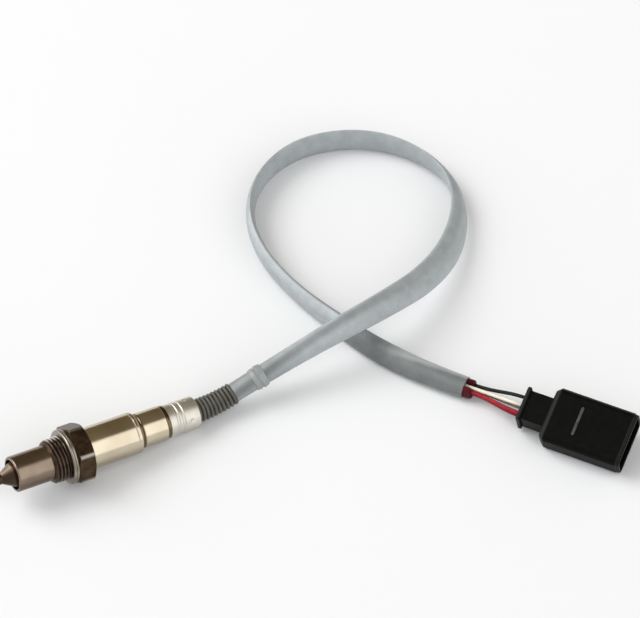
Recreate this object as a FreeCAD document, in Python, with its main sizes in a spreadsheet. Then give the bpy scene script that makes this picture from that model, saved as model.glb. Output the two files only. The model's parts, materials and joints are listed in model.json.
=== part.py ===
import FreeCAD, Part
import math
import os

import Sketcher
from FreeCAD import Vector

# A wideband oxygen sensor lying on a table: the metal probe with its thread and hexagon, the
# ceramic strip and its packing inside, the ribbed rubber boot, the grey sleeve of wires in one
# loose loop, and the flat six way plug. All lengths are millimetres.
#
# Probe pieces are drawn on the probe's own axis, X, which runs from the hot tip to the cable
# with X = 0 at the face that seals against the exhaust. Plug pieces are drawn on the plug's own
# axis, X, which runs from the wires to the mouth with X = 0 at the rear of the housing.

doc = FreeCAD.newDocument("OxygenSensor")

# Driving sizes
SIZES = {
    # hot end
    "thread_dia": 18.0,
    "thread_length": 8.9,
    "thread_chamfer": 1.0,
    "relief_dia": 16.6,
    "relief_room": 0.3,
    "outer_tube_dia": 14.5,
    "outer_tube_reach": 24.2,
    "inner_tube_dia": 10.8,
    "inner_tube_cone": 5.8,
    "cone_reach": 5.0,
    "nose_dia": 4.4,
    "nose_length": 2.0,
    "nose_hole_dia": 1.6,
    "gas_hole_dia": 1.5,
    "gas_hole_count": 6,
    "gas_hole_setback": 6.0,
    "tube_wall": 0.5,
    "tube_seat_depth": 2.6,
    # hexagon and seal
    "hex_across": 22.0,
    "hex_height": 7.3,
    "hex_chamfer": 0.9,
    "hex_roll": 10.0,
    "gasket_dia": 22.4,
    "gasket_height": 2.3,
    "gasket_round": 0.8,
    "gasket_gap": 0.1,
    # packing in the shell's bore
    "gas_bore_dia": 9.2,
    "packing_dia": 11.8,
    "front_bushing_length": 4.0,
    "talc_length": 5.0,
    "rear_bushing_length": 5.0,
    "rear_bushing_tail": 4.7,
    "rear_bushing_step": 1.5,
    "clamp_ring_height": 1.2,
    "shell_lip_height": 1.1,
    "shell_lip_dia": 10.4,
    "packing_seat": 4.5,
    # ceramic strip and its contacts
    "strip_width": 4.0,
    "strip_thick": 1.3,
    "strip_front": 21.0,
    "strip_rear": 27.0,
    "holder_gap": 0.4,
    "holder_length": 16.0,
    "holder_room_width": 7.4,
    "holder_room_height": 6.0,
    "spring_width": 3.0,
    "spring_setback": 6.0,
    "contact_width": 0.8,
    "contact_thick": 0.35,
    "contact_front": 19.0,
    "contact_spread": 1.5,
    "barrel_front": 31.0,
    "barrel_length": 4.0,
    "barrel_dia": 2.0,
    "lead_dia": 1.8,
    "lead_spread": 2.2,
    "lead_height": 1.5,
    # sheet metal body
    "body_dia": 17.0,
    "body_length": 22.6,
    "body_wall": 0.55,
    "neck_dia": 14.3,
    "neck_length": 13.4,
    "body_round": 0.7,
    "crimp_reach": 13.2,
    "crimp_overlap": 4.0,
    "crimp_wall": 0.5,
    "crimp_lip": 0.5,
    "crimp_lip_dia": 10.0,
    "crimp_groove_width": 1.0,
    "crimp_groove_depth": 0.3,
    "crimp_groove_setback": 3.0,
    "crimp_groove_pitch": 2.3,
    # rubber
    "grommet_length": 13.0,
    "boot_flange": 1.5,
    "boot_dia": 9.8,
    "boot_end_dia": 9.2,
    "boot_valley_dia": 8.2,
    "boot_bore_dia": 7.4,
    "boot_length": 18.0,
    "boot_ribs": 10,
    "boot_rib_thick": 1.1,
    "cable_rise": 15.0,
    # cable
    "sleeve_dia": 8.8,
    "collar_dia": 11.0,
    "collar_length": 5.5,
    "collar_setback": 9.0,
    "liner_dia": 8.0,
    "liner_length": 3.4,
    "wire_dia": 1.5,
    "wire_spread": 1.9,
    # plug
    "plug_length": 34.5,
    "plug_width": 23.6,
    "plug_height": 12.5,
    "plug_wall": 1.6,
    "plug_round": 3.0,
    "plug_rear_bevel": 1.6,
    "mouth_depth": 14.0,
    "cap_width": 12.6,
    "cap_height": 10.0,
    "cap_neck": 9.5,
    "cap_insert": 3.0,
    "cap_wall": 1.2,
    "flange_width": 14.7,
    "flange_height": 12.0,
    "flange_thick": 1.6,
    "seal_thick": 4.5,
    "pin_pitch": 3.5,
    "pin_row_gap": 3.9,
    "pin_dia": 1.5,
    "pin_reach": 7.0,
    "pin_barrel_dia": 2.3,
    "pin_barrel_length": 8.0,
    "lock_length": 15.3,
    "lock_thick": 1.2,
    "lock_setback": 12.9,
    "lock_depth": 1.7,
    "lock_proud": 0.35,
    "resistor_length": 3.2,
    "resistor_width": 1.6,
    "resistor_height": 0.9,
    # clearance between pieces that slide into each other
    "slip": 0.05,
}
sheet = doc.addObject("Spreadsheet::Sheet", "Size")
for row, (alias, number) in enumerate(SIZES.items(), 1):
    sheet.set(f"A{row}", alias)
    sheet.set(f"B{row}", str(number))
    sheet.setAlias(f"B{row}", alias)
doc.recompute()


def value(text):
    """The number that an expression on the sheet comes to."""
    return float(sheet.evalExpression(text))


# Stations along the probe's axis
SHELL_FRONT = "(-Size.thread_length)"
TUBE_SEAT = f"({SHELL_FRONT} + Size.tube_seat_depth)"
RIM = "(-Size.outer_tube_reach)"
CONE_TIP = f"({RIM} - Size.cone_reach)"
NOSE_TIP = f"({CONE_TIP} - Size.nose_length)"
PACK_FRONT = "(-Size.packing_seat)"
TALC_FRONT = f"({PACK_FRONT} + Size.front_bushing_length)"
REAR_BUSHING_FRONT = f"({TALC_FRONT} + Size.talc_length)"
CLAMP_FRONT = f"({REAR_BUSHING_FRONT} + Size.rear_bushing_length)"
CLAMP_REAR = f"({CLAMP_FRONT} + Size.clamp_ring_height)"
SHELL_REAR = f"({CLAMP_REAR} + Size.shell_lip_height)"
BUSHING_TAIL = "(Size.packing_dia / 2 - Size.rear_bushing_step)"
HOLDER_FRONT = f"({CLAMP_FRONT} + Size.rear_bushing_tail)"
HOLDER_REAR = f"({HOLDER_FRONT} + Size.holder_length)"
BODY_STEP = "(Size.hex_height + Size.body_length)"
BODY_REAR = f"({BODY_STEP} + Size.neck_length)"
CRIMP_REAR = f"({BODY_REAR} + Size.crimp_reach)"
BOOT_FLANGE_REAR = f"({CRIMP_REAR} - Size.crimp_lip)"
BOOT_FRONT = f"({BOOT_FLANGE_REAR} - Size.boot_flange)"
BARREL_REAR = "(Size.barrel_front + Size.barrel_length)"
BODY_BORE = "(Size.body_dia / 2 - Size.body_wall)"
NECK_BORE = "(Size.neck_dia / 2 - Size.body_wall)"
HOLDER_OUTSIDE = f"({NECK_BORE} - Size.holder_gap)"
CRIMP_OUTSIDE = f"({NECK_BORE} - Size.slip)"
CRIMP_BORE = f"({CRIMP_OUTSIDE} - Size.crimp_wall)"


def new_body(label):
    body = doc.addObject("PartDesign::Body", label)
    body.Label = label
    return body


def new_sketch(body, role, offset="0"):
    """A sketch on one of the body's own origin planes, moved along that plane's normal."""
    sketch = body.newObject("Sketcher::SketchObject", "Sketch")
    plane = next(item for item in body.Origin.OriginFeatures if item.Role == role)
    sketch.AttachmentSupport = [(plane, "")]
    sketch.MapMode = "FlatFace"
    sketch.setExpression("AttachmentOffset.Base.z", offset)
    return sketch


def tie(sketch, kind, geometry, point, text):
    """Holds one coordinate of a point at an expression on the sheet."""
    index = sketch.addConstraint(Sketcher.Constraint(kind, -1, 1, geometry, point, value(text)))
    sketch.setExpression(f"Constraints[{index}]", text)


def add_outline(sketch, corners):
    """A closed outline of straight lines through (across, up) expressions."""
    first = sketch.GeometryCount
    places = [Vector(value(across), value(up), 0) for across, up in corners]
    ends = places[1:] + places[:1]
    for start, end in zip(places, ends):
        sketch.addGeometry(Part.LineSegment(start, end), False)
    for index, (across, up) in enumerate(corners):
        after = first + (index + 1) % len(corners)
        sketch.addConstraint(Sketcher.Constraint("Coincident", first + index, 2, after, 1))
        tie(sketch, "DistanceX", first + index, 1, across)
        tie(sketch, "DistanceY", first + index, 1, up)


def add_circle(sketch, across, up, radius):
    place = Vector(value(across), value(up), 0)
    index = sketch.addGeometry(Part.Circle(place, Vector(0, 0, 1), value(radius)), False)
    tie(sketch, "DistanceX", index, 3, across)
    tie(sketch, "DistanceY", index, 3, up)
    size = sketch.addConstraint(Sketcher.Constraint("Radius", index, value(radius)))
    sketch.setExpression(f"Constraints[{size}]", radius)


def rectangle(left, right, bottom, top):
    return [(left, bottom), (right, bottom), (right, top), (left, top)]


def centred(width, height):
    """A rectangle about the origin."""
    return rectangle(f"-{width} / 2", f"{width} / 2", f"-{height} / 2", f"{height} / 2")


def turn(body, corners, kind="PartDesign::Revolution"):
    """Turns an outline of (along, radius) expressions about the body's X axis."""
    sketch = new_sketch(body, "XY_Plane")
    add_outline(sketch, corners)
    feature = body.newObject(kind, "Turned")
    feature.Profile = sketch
    feature.ReferenceAxis = (sketch, ["H_Axis"])
    feature.Angle = 360
    return feature


def push(body, sketch, length, kind="PartDesign::Pad"):
    """Adds, or with a Pocket cuts, the sketch's outline along +X."""
    feature = body.newObject(kind, "Pushed")
    feature.Profile = sketch
    feature.setExpression("Length", length)
    feature.Reversed = kind == "PartDesign::Pocket"
    return feature


def block(body, corners, start, end, kind="PartDesign::Pad"):
    sketch = new_sketch(body, "YZ_Plane", start)
    add_outline(sketch, corners)
    return push(body, sketch, f"{end} - {start}", kind)


def rods(body, centres, radius, start, end, kind="PartDesign::Pad"):
    """Round rods, or with a Pocket round holes, along X at (across, up) centres."""
    sketch = new_sketch(body, "YZ_Plane", start)
    for across, up in centres:
        add_circle(sketch, across, up, radius)
    return push(body, sketch, f"{end} - {start}", kind)


def round_off(body, radius, chosen, kind="PartDesign::Fillet", size="Radius"):
    """Fillets or chamfers the tip's edges for which chosen says yes."""
    doc.recompute()
    base = body.Tip
    names = [f"Edge{index}" for index, edge in enumerate(base.Shape.Edges, 1) if chosen(edge)]
    feature = body.newObject(kind, "Rounded")
    feature.Base = (base, names)
    feature.setExpression(size, radius)
    return feature


def ring_at(along, radius):
    """Says yes to a round edge about X at this station with this radius."""
    place, size = value(along), value(radius)

    def chosen(edge):
        curve = edge.Curve
        if not isinstance(curve, Part.Circle):
            return False
        return abs(curve.Center.x - place) < 0.01 and abs(curve.Radius - size) < 0.01

    return chosen


# Gas side: two thin tubes pressed into the shell's front counterbore
def make_outer_protection_tube():
    body = new_body("outer_protection_tube")
    bore = "(Size.outer_tube_dia / 2 - Size.tube_wall)"
    turn(body, rectangle(RIM, TUBE_SEAT, bore, "Size.outer_tube_dia / 2"))
    round_off(body, "Size.tube_wall * 0.45", ring_at(RIM, "Size.outer_tube_dia / 2"))
    return body


def make_inner_protection_tube():
    body = new_body("inner_protection_tube")
    outside = "Size.inner_tube_dia / 2"
    inside = "(Size.inner_tube_dia / 2 - Size.tube_wall)"
    nose = "Size.nose_dia / 2"
    nose_bore = "(Size.nose_dia / 2 - Size.tube_wall)"
    hole = "Size.nose_hole_dia / 2"
    cone_base = f"({CONE_TIP} + Size.inner_tube_cone)"
    flange_front = f"({TUBE_SEAT} - Size.tube_wall)"
    flange_rim = "(Size.outer_tube_dia / 2 - Size.tube_wall - Size.slip)"
    turn(body, [
        (NOSE_TIP, hole),
        (NOSE_TIP, nose),
        (CONE_TIP, nose),
        (cone_base, outside),
        (flange_front, outside),
        (flange_front, flange_rim),
        (TUBE_SEAT, flange_rim),
        (TUBE_SEAT, inside),
        (f"{cone_base} + Size.tube_wall / 2", inside),
        (f"{CONE_TIP} + Size.tube_wall / 2", nose_bore),
        (f"{NOSE_TIP} + Size.tube_wall", nose_bore),
        (f"{NOSE_TIP} + Size.tube_wall", hole),
    ])
    round_off(body, "Size.tube_wall", ring_at(NOSE_TIP, nose))
    # Gas holes behind the cone, hidden by the outer tube
    sketch = new_sketch(body, "XY_Plane")
    add_circle(sketch, f"{cone_base} + Size.gas_hole_setback", "0", "Size.gas_hole_dia / 2")
    hole_cut = push(body, sketch, outside, "PartDesign::Pocket")
    pattern = body.newObject("PartDesign::PolarPattern", "GasHoles")
    pattern.Originals = [hole_cut]
    axis = next(item for item in body.Origin.OriginFeatures if item.Role == "X_Axis")
    pattern.Axis = (axis, [""])
    pattern.Angle = 360
    pattern.setExpression("Occurrences", "Size.gas_hole_count")
    body.Tip = pattern
    return body


# Steel shell: thread, seat, hexagon, spigot for the sheet metal body, and the packing's bore
def hexagon():
    """The hexagon's corners on the YZ plane, rolled off the vertical as it lies."""
    corners = []
    for step in range(6):
        angle = f"(270 - Size.hex_roll + 60 * {step})"
        reach = "Size.hex_across / (2 * cos(30))"
        corners.append((f"{reach} * cos({angle})", f"{reach} * sin({angle})"))
    return corners


def make_sensor_shell():
    body = new_body("sensor_shell")
    block(body, hexagon(), "0", "Size.hex_height")
    corner = "Size.hex_across / (2 * cos(30))"
    flat = "Size.hex_across / 2"
    beyond = f"({corner} + Size.hex_chamfer)"
    # A shallow cone takes the corners off both ends of the hexagon
    for face, inward, outward in (("0", "+", "-"), ("Size.hex_height", "-", "+")):
        turn(body, [
            (face, flat),
            (f"{face} {inward} Size.hex_chamfer", corner),
            (f"{face} {inward} Size.hex_chamfer", beyond),
            (f"{face} {outward} Size.hex_chamfer", beyond),
            (f"{face} {outward} Size.hex_chamfer", flat),
        ], "PartDesign::Groove")
    thread = "Size.thread_dia / 2"
    relief = "Size.relief_dia / 2"
    relief_front = "(-Size.gasket_height - Size.relief_room)"
    spigot = f"({BODY_BORE} - Size.slip)"
    turn(body, [
        (SHELL_FRONT, "0"),
        (SHELL_FRONT, f"{thread} - Size.thread_chamfer"),
        (f"{SHELL_FRONT} + Size.thread_chamfer", thread),
        (relief_front, thread),
        (relief_front, relief),
        ("Size.hex_height / 2", relief),
        ("Size.hex_height / 2", spigot),
        (SHELL_REAR, spigot),
        (SHELL_REAR, "0"),
    ])
    counterbore = "(Size.outer_tube_dia / 2 + Size.slip)"
    turn(body, [
        (f"{SHELL_FRONT} - 1", "0"),
        (f"{SHELL_FRONT} - 1", counterbore),
        (TUBE_SEAT, counterbore),
        (TUBE_SEAT, "Size.gas_bore_dia / 2"),
        (PACK_FRONT, "Size.gas_bore_dia / 2"),
        (PACK_FRONT, "Size.packing_dia / 2"),
        (CLAMP_REAR, "Size.packing_dia / 2"),
        (CLAMP_REAR, "Size.shell_lip_dia / 2"),
        (f"{SHELL_REAR} + 1", "Size.shell_lip_dia / 2"),
        (f"{SHELL_REAR} + 1", "0"),
    ], "PartDesign::Groove")
    return body


def make_seat_gasket():
    body = new_body("seat_gasket")
    inside = "(Size.relief_dia / 2 + Size.gasket_gap)"
    outside = "Size.gasket_dia / 2"
    turn(body, rectangle("-Size.gasket_height", "0", inside, outside))
    rims = [ring_at("-Size.gasket_height", outside), ring_at("0", outside),
            ring_at("-Size.gasket_height", inside)]
    round_off(body, "Size.gasket_round", lambda edge: any(rim(edge) for rim in rims))
    return body


# Packing: two ceramic bushings squeeze a talc ring round the ceramic strip
def slot():
    return centred("(Size.strip_width + 2 * Size.slip)", "(Size.strip_thick + 2 * Size.slip)")


def make_packing_ring(label, front, rear):
    body = new_body(label)
    turn(body, rectangle(front, rear, "0", "Size.packing_dia / 2 - Size.slip"))
    block(body, slot(), f"({front} - 1)", f"({rear} + 1)", "PartDesign::Pocket")
    return body


def make_rear_bushing():
    body = new_body("rear_bushing")
    wide = "Size.packing_dia / 2 - Size.slip"
    turn(body, [
        (REAR_BUSHING_FRONT, "0"),
        (REAR_BUSHING_FRONT, wide),
        (CLAMP_FRONT, wide),
        (CLAMP_FRONT, BUSHING_TAIL),
        (HOLDER_FRONT, BUSHING_TAIL),
        (HOLDER_FRONT, "0"),
    ])
    block(body, slot(), f"({REAR_BUSHING_FRONT} - 1)", f"({HOLDER_FRONT} + 1)",
          "PartDesign::Pocket")
    return body


def make_clamp_ring():
    body = new_body("clamp_ring")
    turn(body, rectangle(CLAMP_FRONT, CLAMP_REAR, f"({BUSHING_TAIL} + Size.slip)",
                         "Size.packing_dia / 2 - Size.slip"))
    return body


def make_sensing_element():
    body = new_body("sensing_element")
    strip = centred("Size.strip_width", "Size.strip_thick")
    block(body, strip, "(-Size.strip_front)", "Size.strip_rear")
    return body


# Contacts: five springs in a ceramic holder, three above the strip and two below
CONTACTS = [
    ("-Size.lead_spread", "-Size.contact_spread", 1),
    ("0", "0", 1),
    ("Size.lead_spread", "Size.contact_spread", 1),
    ("-Size.lead_spread / 2", "-Size.contact_spread / 2", -1),
    ("Size.lead_spread / 2", "Size.contact_spread / 2", -1),
]


def lead_centres():
    return [(across, f"{side} * Size.lead_height") for across, _, side in CONTACTS]


def make_contact_holder():
    body = new_body("contact_holder")
    turn(body, rectangle(HOLDER_FRONT, HOLDER_REAR, "0", HOLDER_OUTSIDE))
    block(body, slot(), f"({HOLDER_FRONT} - 1)", f"({HOLDER_REAR} + 1)", "PartDesign::Pocket")
    room = centred("Size.holder_room_width", "Size.holder_room_height")
    block(body, room, "Size.contact_front", f"({HOLDER_REAR} + 1)", "PartDesign::Pocket")
    return body


def make_holder_spring():
    body = new_body("holder_spring")
    front = f"({HOLDER_FRONT} + Size.spring_setback)"
    turn(body, rectangle(front, f"{front} + Size.spring_width",
                         f"({HOLDER_OUTSIDE} + Size.slip)", f"{BODY_BORE} - Size.slip"))
    return body


def make_contact_spring(number, barrel_across, strip_across, side):
    body = new_body(f"contact_spring_{number}")
    near = "Size.strip_thick / 2"
    far = "(Size.strip_thick / 2 + Size.contact_thick)"
    bottom, top = (near, far) if side > 0 else (f"-{far}", f"-{near}")
    left = f"({strip_across} - Size.contact_width / 2)"
    right = f"({strip_across} + Size.contact_width / 2)"
    block(body, rectangle(left, right, bottom, top), "Size.contact_front",
          "(Size.barrel_front + Size.barrel_length / 2)")
    centre = (barrel_across, f"{side} * Size.lead_height")
    rods(body, [centre], "Size.barrel_dia / 2", "Size.barrel_front", BARREL_REAR)
    return body


# Sheet metal: the drawn bronze coloured body and the bright sleeve crimped into its neck
def make_body_sleeve():
    body = new_body("body_sleeve")
    inner_step = f"({BODY_STEP} - Size.body_wall)"
    turn(body, [
        ("Size.hex_height", BODY_BORE),
        ("Size.hex_height", "Size.body_dia / 2"),
        (BODY_STEP, "Size.body_dia / 2"),
        (BODY_STEP, "Size.neck_dia / 2"),
        (BODY_REAR, "Size.neck_dia / 2"),
        (BODY_REAR, NECK_BORE),
        (inner_step, NECK_BORE),
        (inner_step, BODY_BORE),
    ])
    round_off(body, "Size.body_round", ring_at(BODY_STEP, "Size.body_dia / 2"))
    round_off(body, "Size.body_wall * 0.9", ring_at(BODY_REAR, "Size.neck_dia / 2"))
    return body


def make_crimp_sleeve():
    body = new_body("crimp_sleeve")
    front = f"({BODY_REAR} - Size.crimp_overlap)"
    turn(body, [
        (front, CRIMP_BORE),
        (front, CRIMP_OUTSIDE),
        (CRIMP_REAR, CRIMP_OUTSIDE),
        (CRIMP_REAR, "Size.crimp_lip_dia / 2"),
        (BOOT_FLANGE_REAR, "Size.crimp_lip_dia / 2"),
        (BOOT_FLANGE_REAR, CRIMP_BORE),
    ])
    round_off(body, "Size.crimp_lip * 0.9", ring_at(CRIMP_REAR, CRIMP_OUTSIDE))
    # Two rolled grooves that grip the grommet
    for number in range(2):
        start = (f"({BODY_REAR} + Size.crimp_groove_setback"
                 f" + {number} * Size.crimp_groove_pitch)")
        turn(body, rectangle(start, f"{start} + Size.crimp_groove_width",
                             f"{CRIMP_OUTSIDE} - Size.crimp_groove_depth",
                             f"{CRIMP_OUTSIDE} + 1"), "PartDesign::Groove")
    return body


def make_rubber_grommet():
    body = new_body("rubber_grommet")
    front = f"({BOOT_FRONT} - Size.grommet_length)"
    turn(body, rectangle(front, BOOT_FRONT, "0", f"{CRIMP_BORE} - Size.slip"))
    rods(body, lead_centres(), "Size.lead_dia / 2 + Size.slip", f"({front} - 1)",
         f"({BOOT_FRONT} + 1)", "PartDesign::Pocket")
    return body


# How the probe lies: on one corner of the hexagon and on the rear rim of the crimped sleeve
hex_corner = value("Size.hex_across / (2 * cos(30))")
contact_front = (value("Size.hex_height - Size.hex_chamfer"),
                 hex_corner * math.cos(math.radians(value("Size.hex_roll"))))
contact_rear = (value(f"{CRIMP_REAR} - Size.crimp_lip"), value(CRIMP_OUTSIDE))
tilt = math.atan2(contact_front[1] - contact_rear[1], contact_rear[0] - contact_front[0])
seat_height = contact_front[0] * math.sin(tilt) + contact_front[1] * math.cos(tilt)

# The boot carries on along the axis, then bends up until the cable climbs at cable_rise
boot_turn = tilt + math.radians(value("Size.cable_rise"))
boot_radius = value("Size.boot_length") / boot_turn
boot_start = value(CRIMP_REAR)
boot_end = Vector(boot_start + boot_radius * math.sin(boot_turn), 0,
                  boot_radius * (1 - math.cos(boot_turn)))

# The origin is under the middle of the probe, from the nose's rounded rim to the boot's end
spin = FreeCAD.Rotation(Vector(0, 1, 0), math.degrees(tilt))
cable_slope = math.radians(value("Size.cable_rise"))
cable_way = Vector(math.cos(cable_slope), 0, math.sin(cable_slope))
nose_rim = Vector(value(f"{NOSE_TIP} + Size.tube_wall"), 0,
                  -value("Size.nose_dia / 2 - Size.tube_wall"))
nose_x = spin.multVec(nose_rim).x - value("Size.tube_wall")
tail_x = spin.multVec(boot_end).x + value("Size.boot_valley_dia / 2") * math.sin(cable_slope)
seat_x = -(nose_x + tail_x) / 2
LYING = FreeCAD.Placement(Vector(seat_x, 0, seat_height), spin)
cable_start = LYING.multVec(boot_end)
print(f"probe tilt {math.degrees(tilt):.2f} degrees, seat at x {seat_x:.2f} z {seat_height:.2f}")
print(f"boot bend radius {boot_radius:.1f}, cable starts at {cable_start}")


def boot_spot(along):
    """The boot's centre and direction at a distance along its bend."""
    angle = along / boot_radius
    place = Vector(boot_start + boot_radius * math.sin(angle), 0,
                   boot_radius * (1 - math.cos(angle)))
    return place, Vector(math.cos(angle), 0, math.sin(angle))


def solid_piece(label, shape):
    piece = doc.addObject("Part::Feature", label)
    piece.Label = label
    piece.Shape = shape
    return piece


def bent_rod(across, up, radius, front):
    """A rod beside the probe's axis from front to the boot's end, through the boot's bend."""
    start = Vector(front, across, up)
    bend = Vector(boot_start, across, up)
    radius_here = boot_radius - up
    half = boot_turn / 2
    middle = Vector(boot_start + radius_here * math.sin(half), across,
                    boot_radius - radius_here * math.cos(half))
    end = Vector(boot_start + radius_here * math.sin(boot_turn), across,
                 boot_radius - radius_here * math.cos(boot_turn))
    path = Part.Wire([Part.LineSegment(start, bend).toShape(),
                      Part.Arc(bend, middle, end).toShape()])
    rim = Part.Wire([Part.Circle(start, Vector(1, 0, 0), radius).toShape()])
    return path.makePipeShell([rim], True, True)


def make_corrugated_boot():
    front = value(BOOT_FRONT)
    rib = value("Size.boot_rib_thick") / 2
    valley = bent_rod(0, 0, value("Size.boot_valley_dia / 2"), front)
    flange = Part.makeCylinder(value(f"{CRIMP_BORE} - Size.slip"), value("Size.boot_flange"),
                               Vector(front, 0, 0), Vector(1, 0, 0))
    count = int(value("Size.boot_ribs"))
    length = value("Size.boot_length")
    widest = value("Size.boot_dia / 2")
    narrowest = value("Size.boot_end_dia / 2")
    ribs = []
    for number in range(count):
        share = number / (count - 1)
        place, way = boot_spot(rib + share * (length - 2 * rib))
        outside = widest + share * (narrowest - widest)
        ribs.append(Part.makeTorus(outside - rib, rib, place, way))
    skin = valley.multiFuse([flange] + ribs)
    bore = bent_rod(0, 0, value("Size.boot_bore_dia / 2"), front - 1)
    end, way = boot_spot(length)
    reach = 2 * widest
    trim = Part.makeCylinder(reach, reach, end, way)
    return solid_piece("corrugated_boot", skin.cut(bore.multiFuse([trim])))


def make_lead_wire(number, across, up):
    rod = bent_rod(value(across), value(up), value("Size.lead_dia / 2"), value(BARREL_REAR))
    return solid_piece(f"lead_wire_{number}", rod)


# Cable: straight runs joined by the largest arcs that they allow
RUN_SHARE = 0.45


def cord(label, points, radius):
    """A round cord along straight runs and tangent arcs. Prints its radii and length."""
    edges = []
    radii = []
    start = points[0]
    for before, corner, after in zip(points, points[1:], points[2:]):
        back = (before - corner).normalize()
        onward = (after - corner).normalize()
        half = (math.pi - back.getAngle(onward)) / 2
        setback = RUN_SHARE * min((before - corner).Length, (after - corner).Length)
        bend = setback / math.tan(half)
        enter = corner + back * setback
        leave = corner + onward * setback
        inward = (back + onward).normalize()
        middle = corner + inward * (math.hypot(bend, setback) - bend)
        edges.append(Part.LineSegment(start, enter).toShape())
        edges.append(Part.Arc(enter, middle, leave).toShape())
        radii.append(bend)
        start = leave
    edges.append(Part.LineSegment(start, points[-1]).toShape())
    path = Part.Wire(edges)
    rim = Part.Wire([Part.Circle(points[0], points[1] - points[0], radius).toShape()])
    tube = path.makePipeShell([rim], True, True)
    filled = tube.Volume / (math.pi * radius**2 * path.Length)
    print(f"{label}: length {path.Length:.1f}, volume / (section x length) {filled:.4f}, radii",
          " ".join(f"{bend:.0f}" for bend in radii))
    return solid_piece(label, tube)


# Plug: where its housing's rear face stands from the boot's end, and which way it points. Its
# wires hold it rolled about its long axis, so that it lies on one long edge.
PLUG_PLACE = (105.4, -71.4)
PLUG_HEADING = -53.6
PLUG_ROLL = 19.5
PLUG_GROUND = FreeCAD.Placement(
    Vector(cable_start.x + PLUG_PLACE[0], cable_start.y + PLUG_PLACE[1], 0),
    FreeCAD.Rotation(Vector(0, 0, 1), PLUG_HEADING))
edge_lift = (value("Size.plug_width / 2 - Size.plug_round") * math.sin(math.radians(PLUG_ROLL))
             + value("Size.plug_round") * (1 - math.cos(math.radians(PLUG_ROLL))))
PLUG_LYING = PLUG_GROUND.multiply(FreeCAD.Placement(
    Vector(0, 0, edge_lift), FreeCAD.Rotation(Vector(1, 0, 0), PLUG_ROLL)))
# Height of the sleeve's centre where it lies on the table
ON_TABLE = value("Size.sleeve_dia / 2")
# The sleeve ends here, seen from the plug's rear and without its roll, pointing along the plug
SLEEVE_END = (-37.3, 1.2, ON_TABLE)

# The sleeve's route from the boot's end: x and y from that end, z above the table. It climbs
# over its own far strand, makes one loop on the table and runs out to the plug.
SLEEVE_ROUTE = [
    (46.0, -1.5, ON_TABLE + 16.6),
    (70.0, 1.0, ON_TABLE + 16.6),
    (96.0, 10.0, ON_TABLE + 8.6),
    (118.0, 25.0, ON_TABLE + 2.1),
    (133.5, 46.0, ON_TABLE),
    (135.0, 66.0, ON_TABLE),
    (125.0, 87.0, ON_TABLE),
    (107.0, 100.5, ON_TABLE),
    (84.5, 105.0, ON_TABLE),
    (63.5, 97.0, ON_TABLE),
    (50.0, 80.5, ON_TABLE),
    (45.0, 58.0, ON_TABLE),
    (48.0, 34.5, ON_TABLE),
    (55.0, 12.5, ON_TABLE),
    (63.5, -9.0, ON_TABLE),
]
FIRST_RUN = 22.0
LAST_RUN = 16.5


def make_cable_sleeve():
    start = cable_start
    corners = [Vector(start.x + x, start.y + y, z) for x, y, z in SLEEVE_ROUTE]
    straight_in = PLUG_GROUND.multVec(Vector(SLEEVE_END[0] - LAST_RUN, *SLEEVE_END[1:]))
    end = PLUG_GROUND.multVec(Vector(*SLEEVE_END))
    points = [start, start + cable_way * FIRST_RUN] + corners + [straight_in, end]
    return cord("cable_sleeve", points, value("Size.sleeve_dia / 2"))


def make_sleeve_collar():
    body = new_body("sleeve_collar")
    inside = "(Size.sleeve_dia / 2 + Size.slip)"
    turn(body, rectangle("Size.collar_setback", "Size.collar_setback + Size.collar_length",
                         inside, "Size.collar_dia / 2"))
    round_off(body, "(Size.collar_dia - Size.sleeve_dia) / 4",
              ring_at("Size.collar_setback + Size.collar_length", "Size.collar_dia / 2"))
    body.Placement = FreeCAD.Placement(cable_start, FreeCAD.Rotation(Vector(1, 0, 0), cable_way))
    return body


# Stations along the plug
AXIS_HEIGHT = "(Size.plug_height / 2)"
MOUTH = "Size.plug_length"
MOUTH_FLOOR = "(Size.plug_length - Size.mouth_depth)"
CAP_REAR = "(-Size.cap_neck - Size.flange_thick)"
SEAL_REAR = "(-Size.cap_neck)"
SEAL_FRONT = "(-Size.cap_neck + Size.seal_thick)"
HOLDER_WIDTH = "(Size.plug_width - 2 * Size.plug_wall - 2 * Size.slip)"
HOLDER_HEIGHT = "(Size.plug_height - 2 * Size.plug_wall - 2 * Size.slip)"

# Six cavities in two rows of three. The last one is blind.
CAVITIES = [(f"{column} * Size.pin_pitch", f"{AXIS_HEIGHT} + {row} * Size.pin_row_gap / 2")
            for row in (1, -1) for column in (-1, 0, 1)]
WIRES = ["plug_wire_red_1", "plug_wire_white", "plug_wire_black", "plug_wire_red_2",
         "plug_wire_grey"]


def box_about_axis(width, height):
    return rectangle(f"-{width} / 2", f"{width} / 2", f"{AXIS_HEIGHT} - {height} / 2",
                     f"{AXIS_HEIGHT} + {height} / 2")


def runs_along_x(edge):
    ends = [vertex.Point for vertex in edge.Vertexes]
    return len(ends) == 2 and abs(abs((ends[1] - ends[0]).normalize().x) - 1) < 1e-6


def lock_outline(gap):
    """The locking slide's outline, seen from above."""
    half = f"(Size.lock_thick / 2 + {gap})"
    reach = f"(Size.lock_length / 2 + {gap})"
    return rectangle(f"Size.lock_setback - {half}", f"Size.lock_setback + {half}",
                     f"-{reach}", reach)


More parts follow.
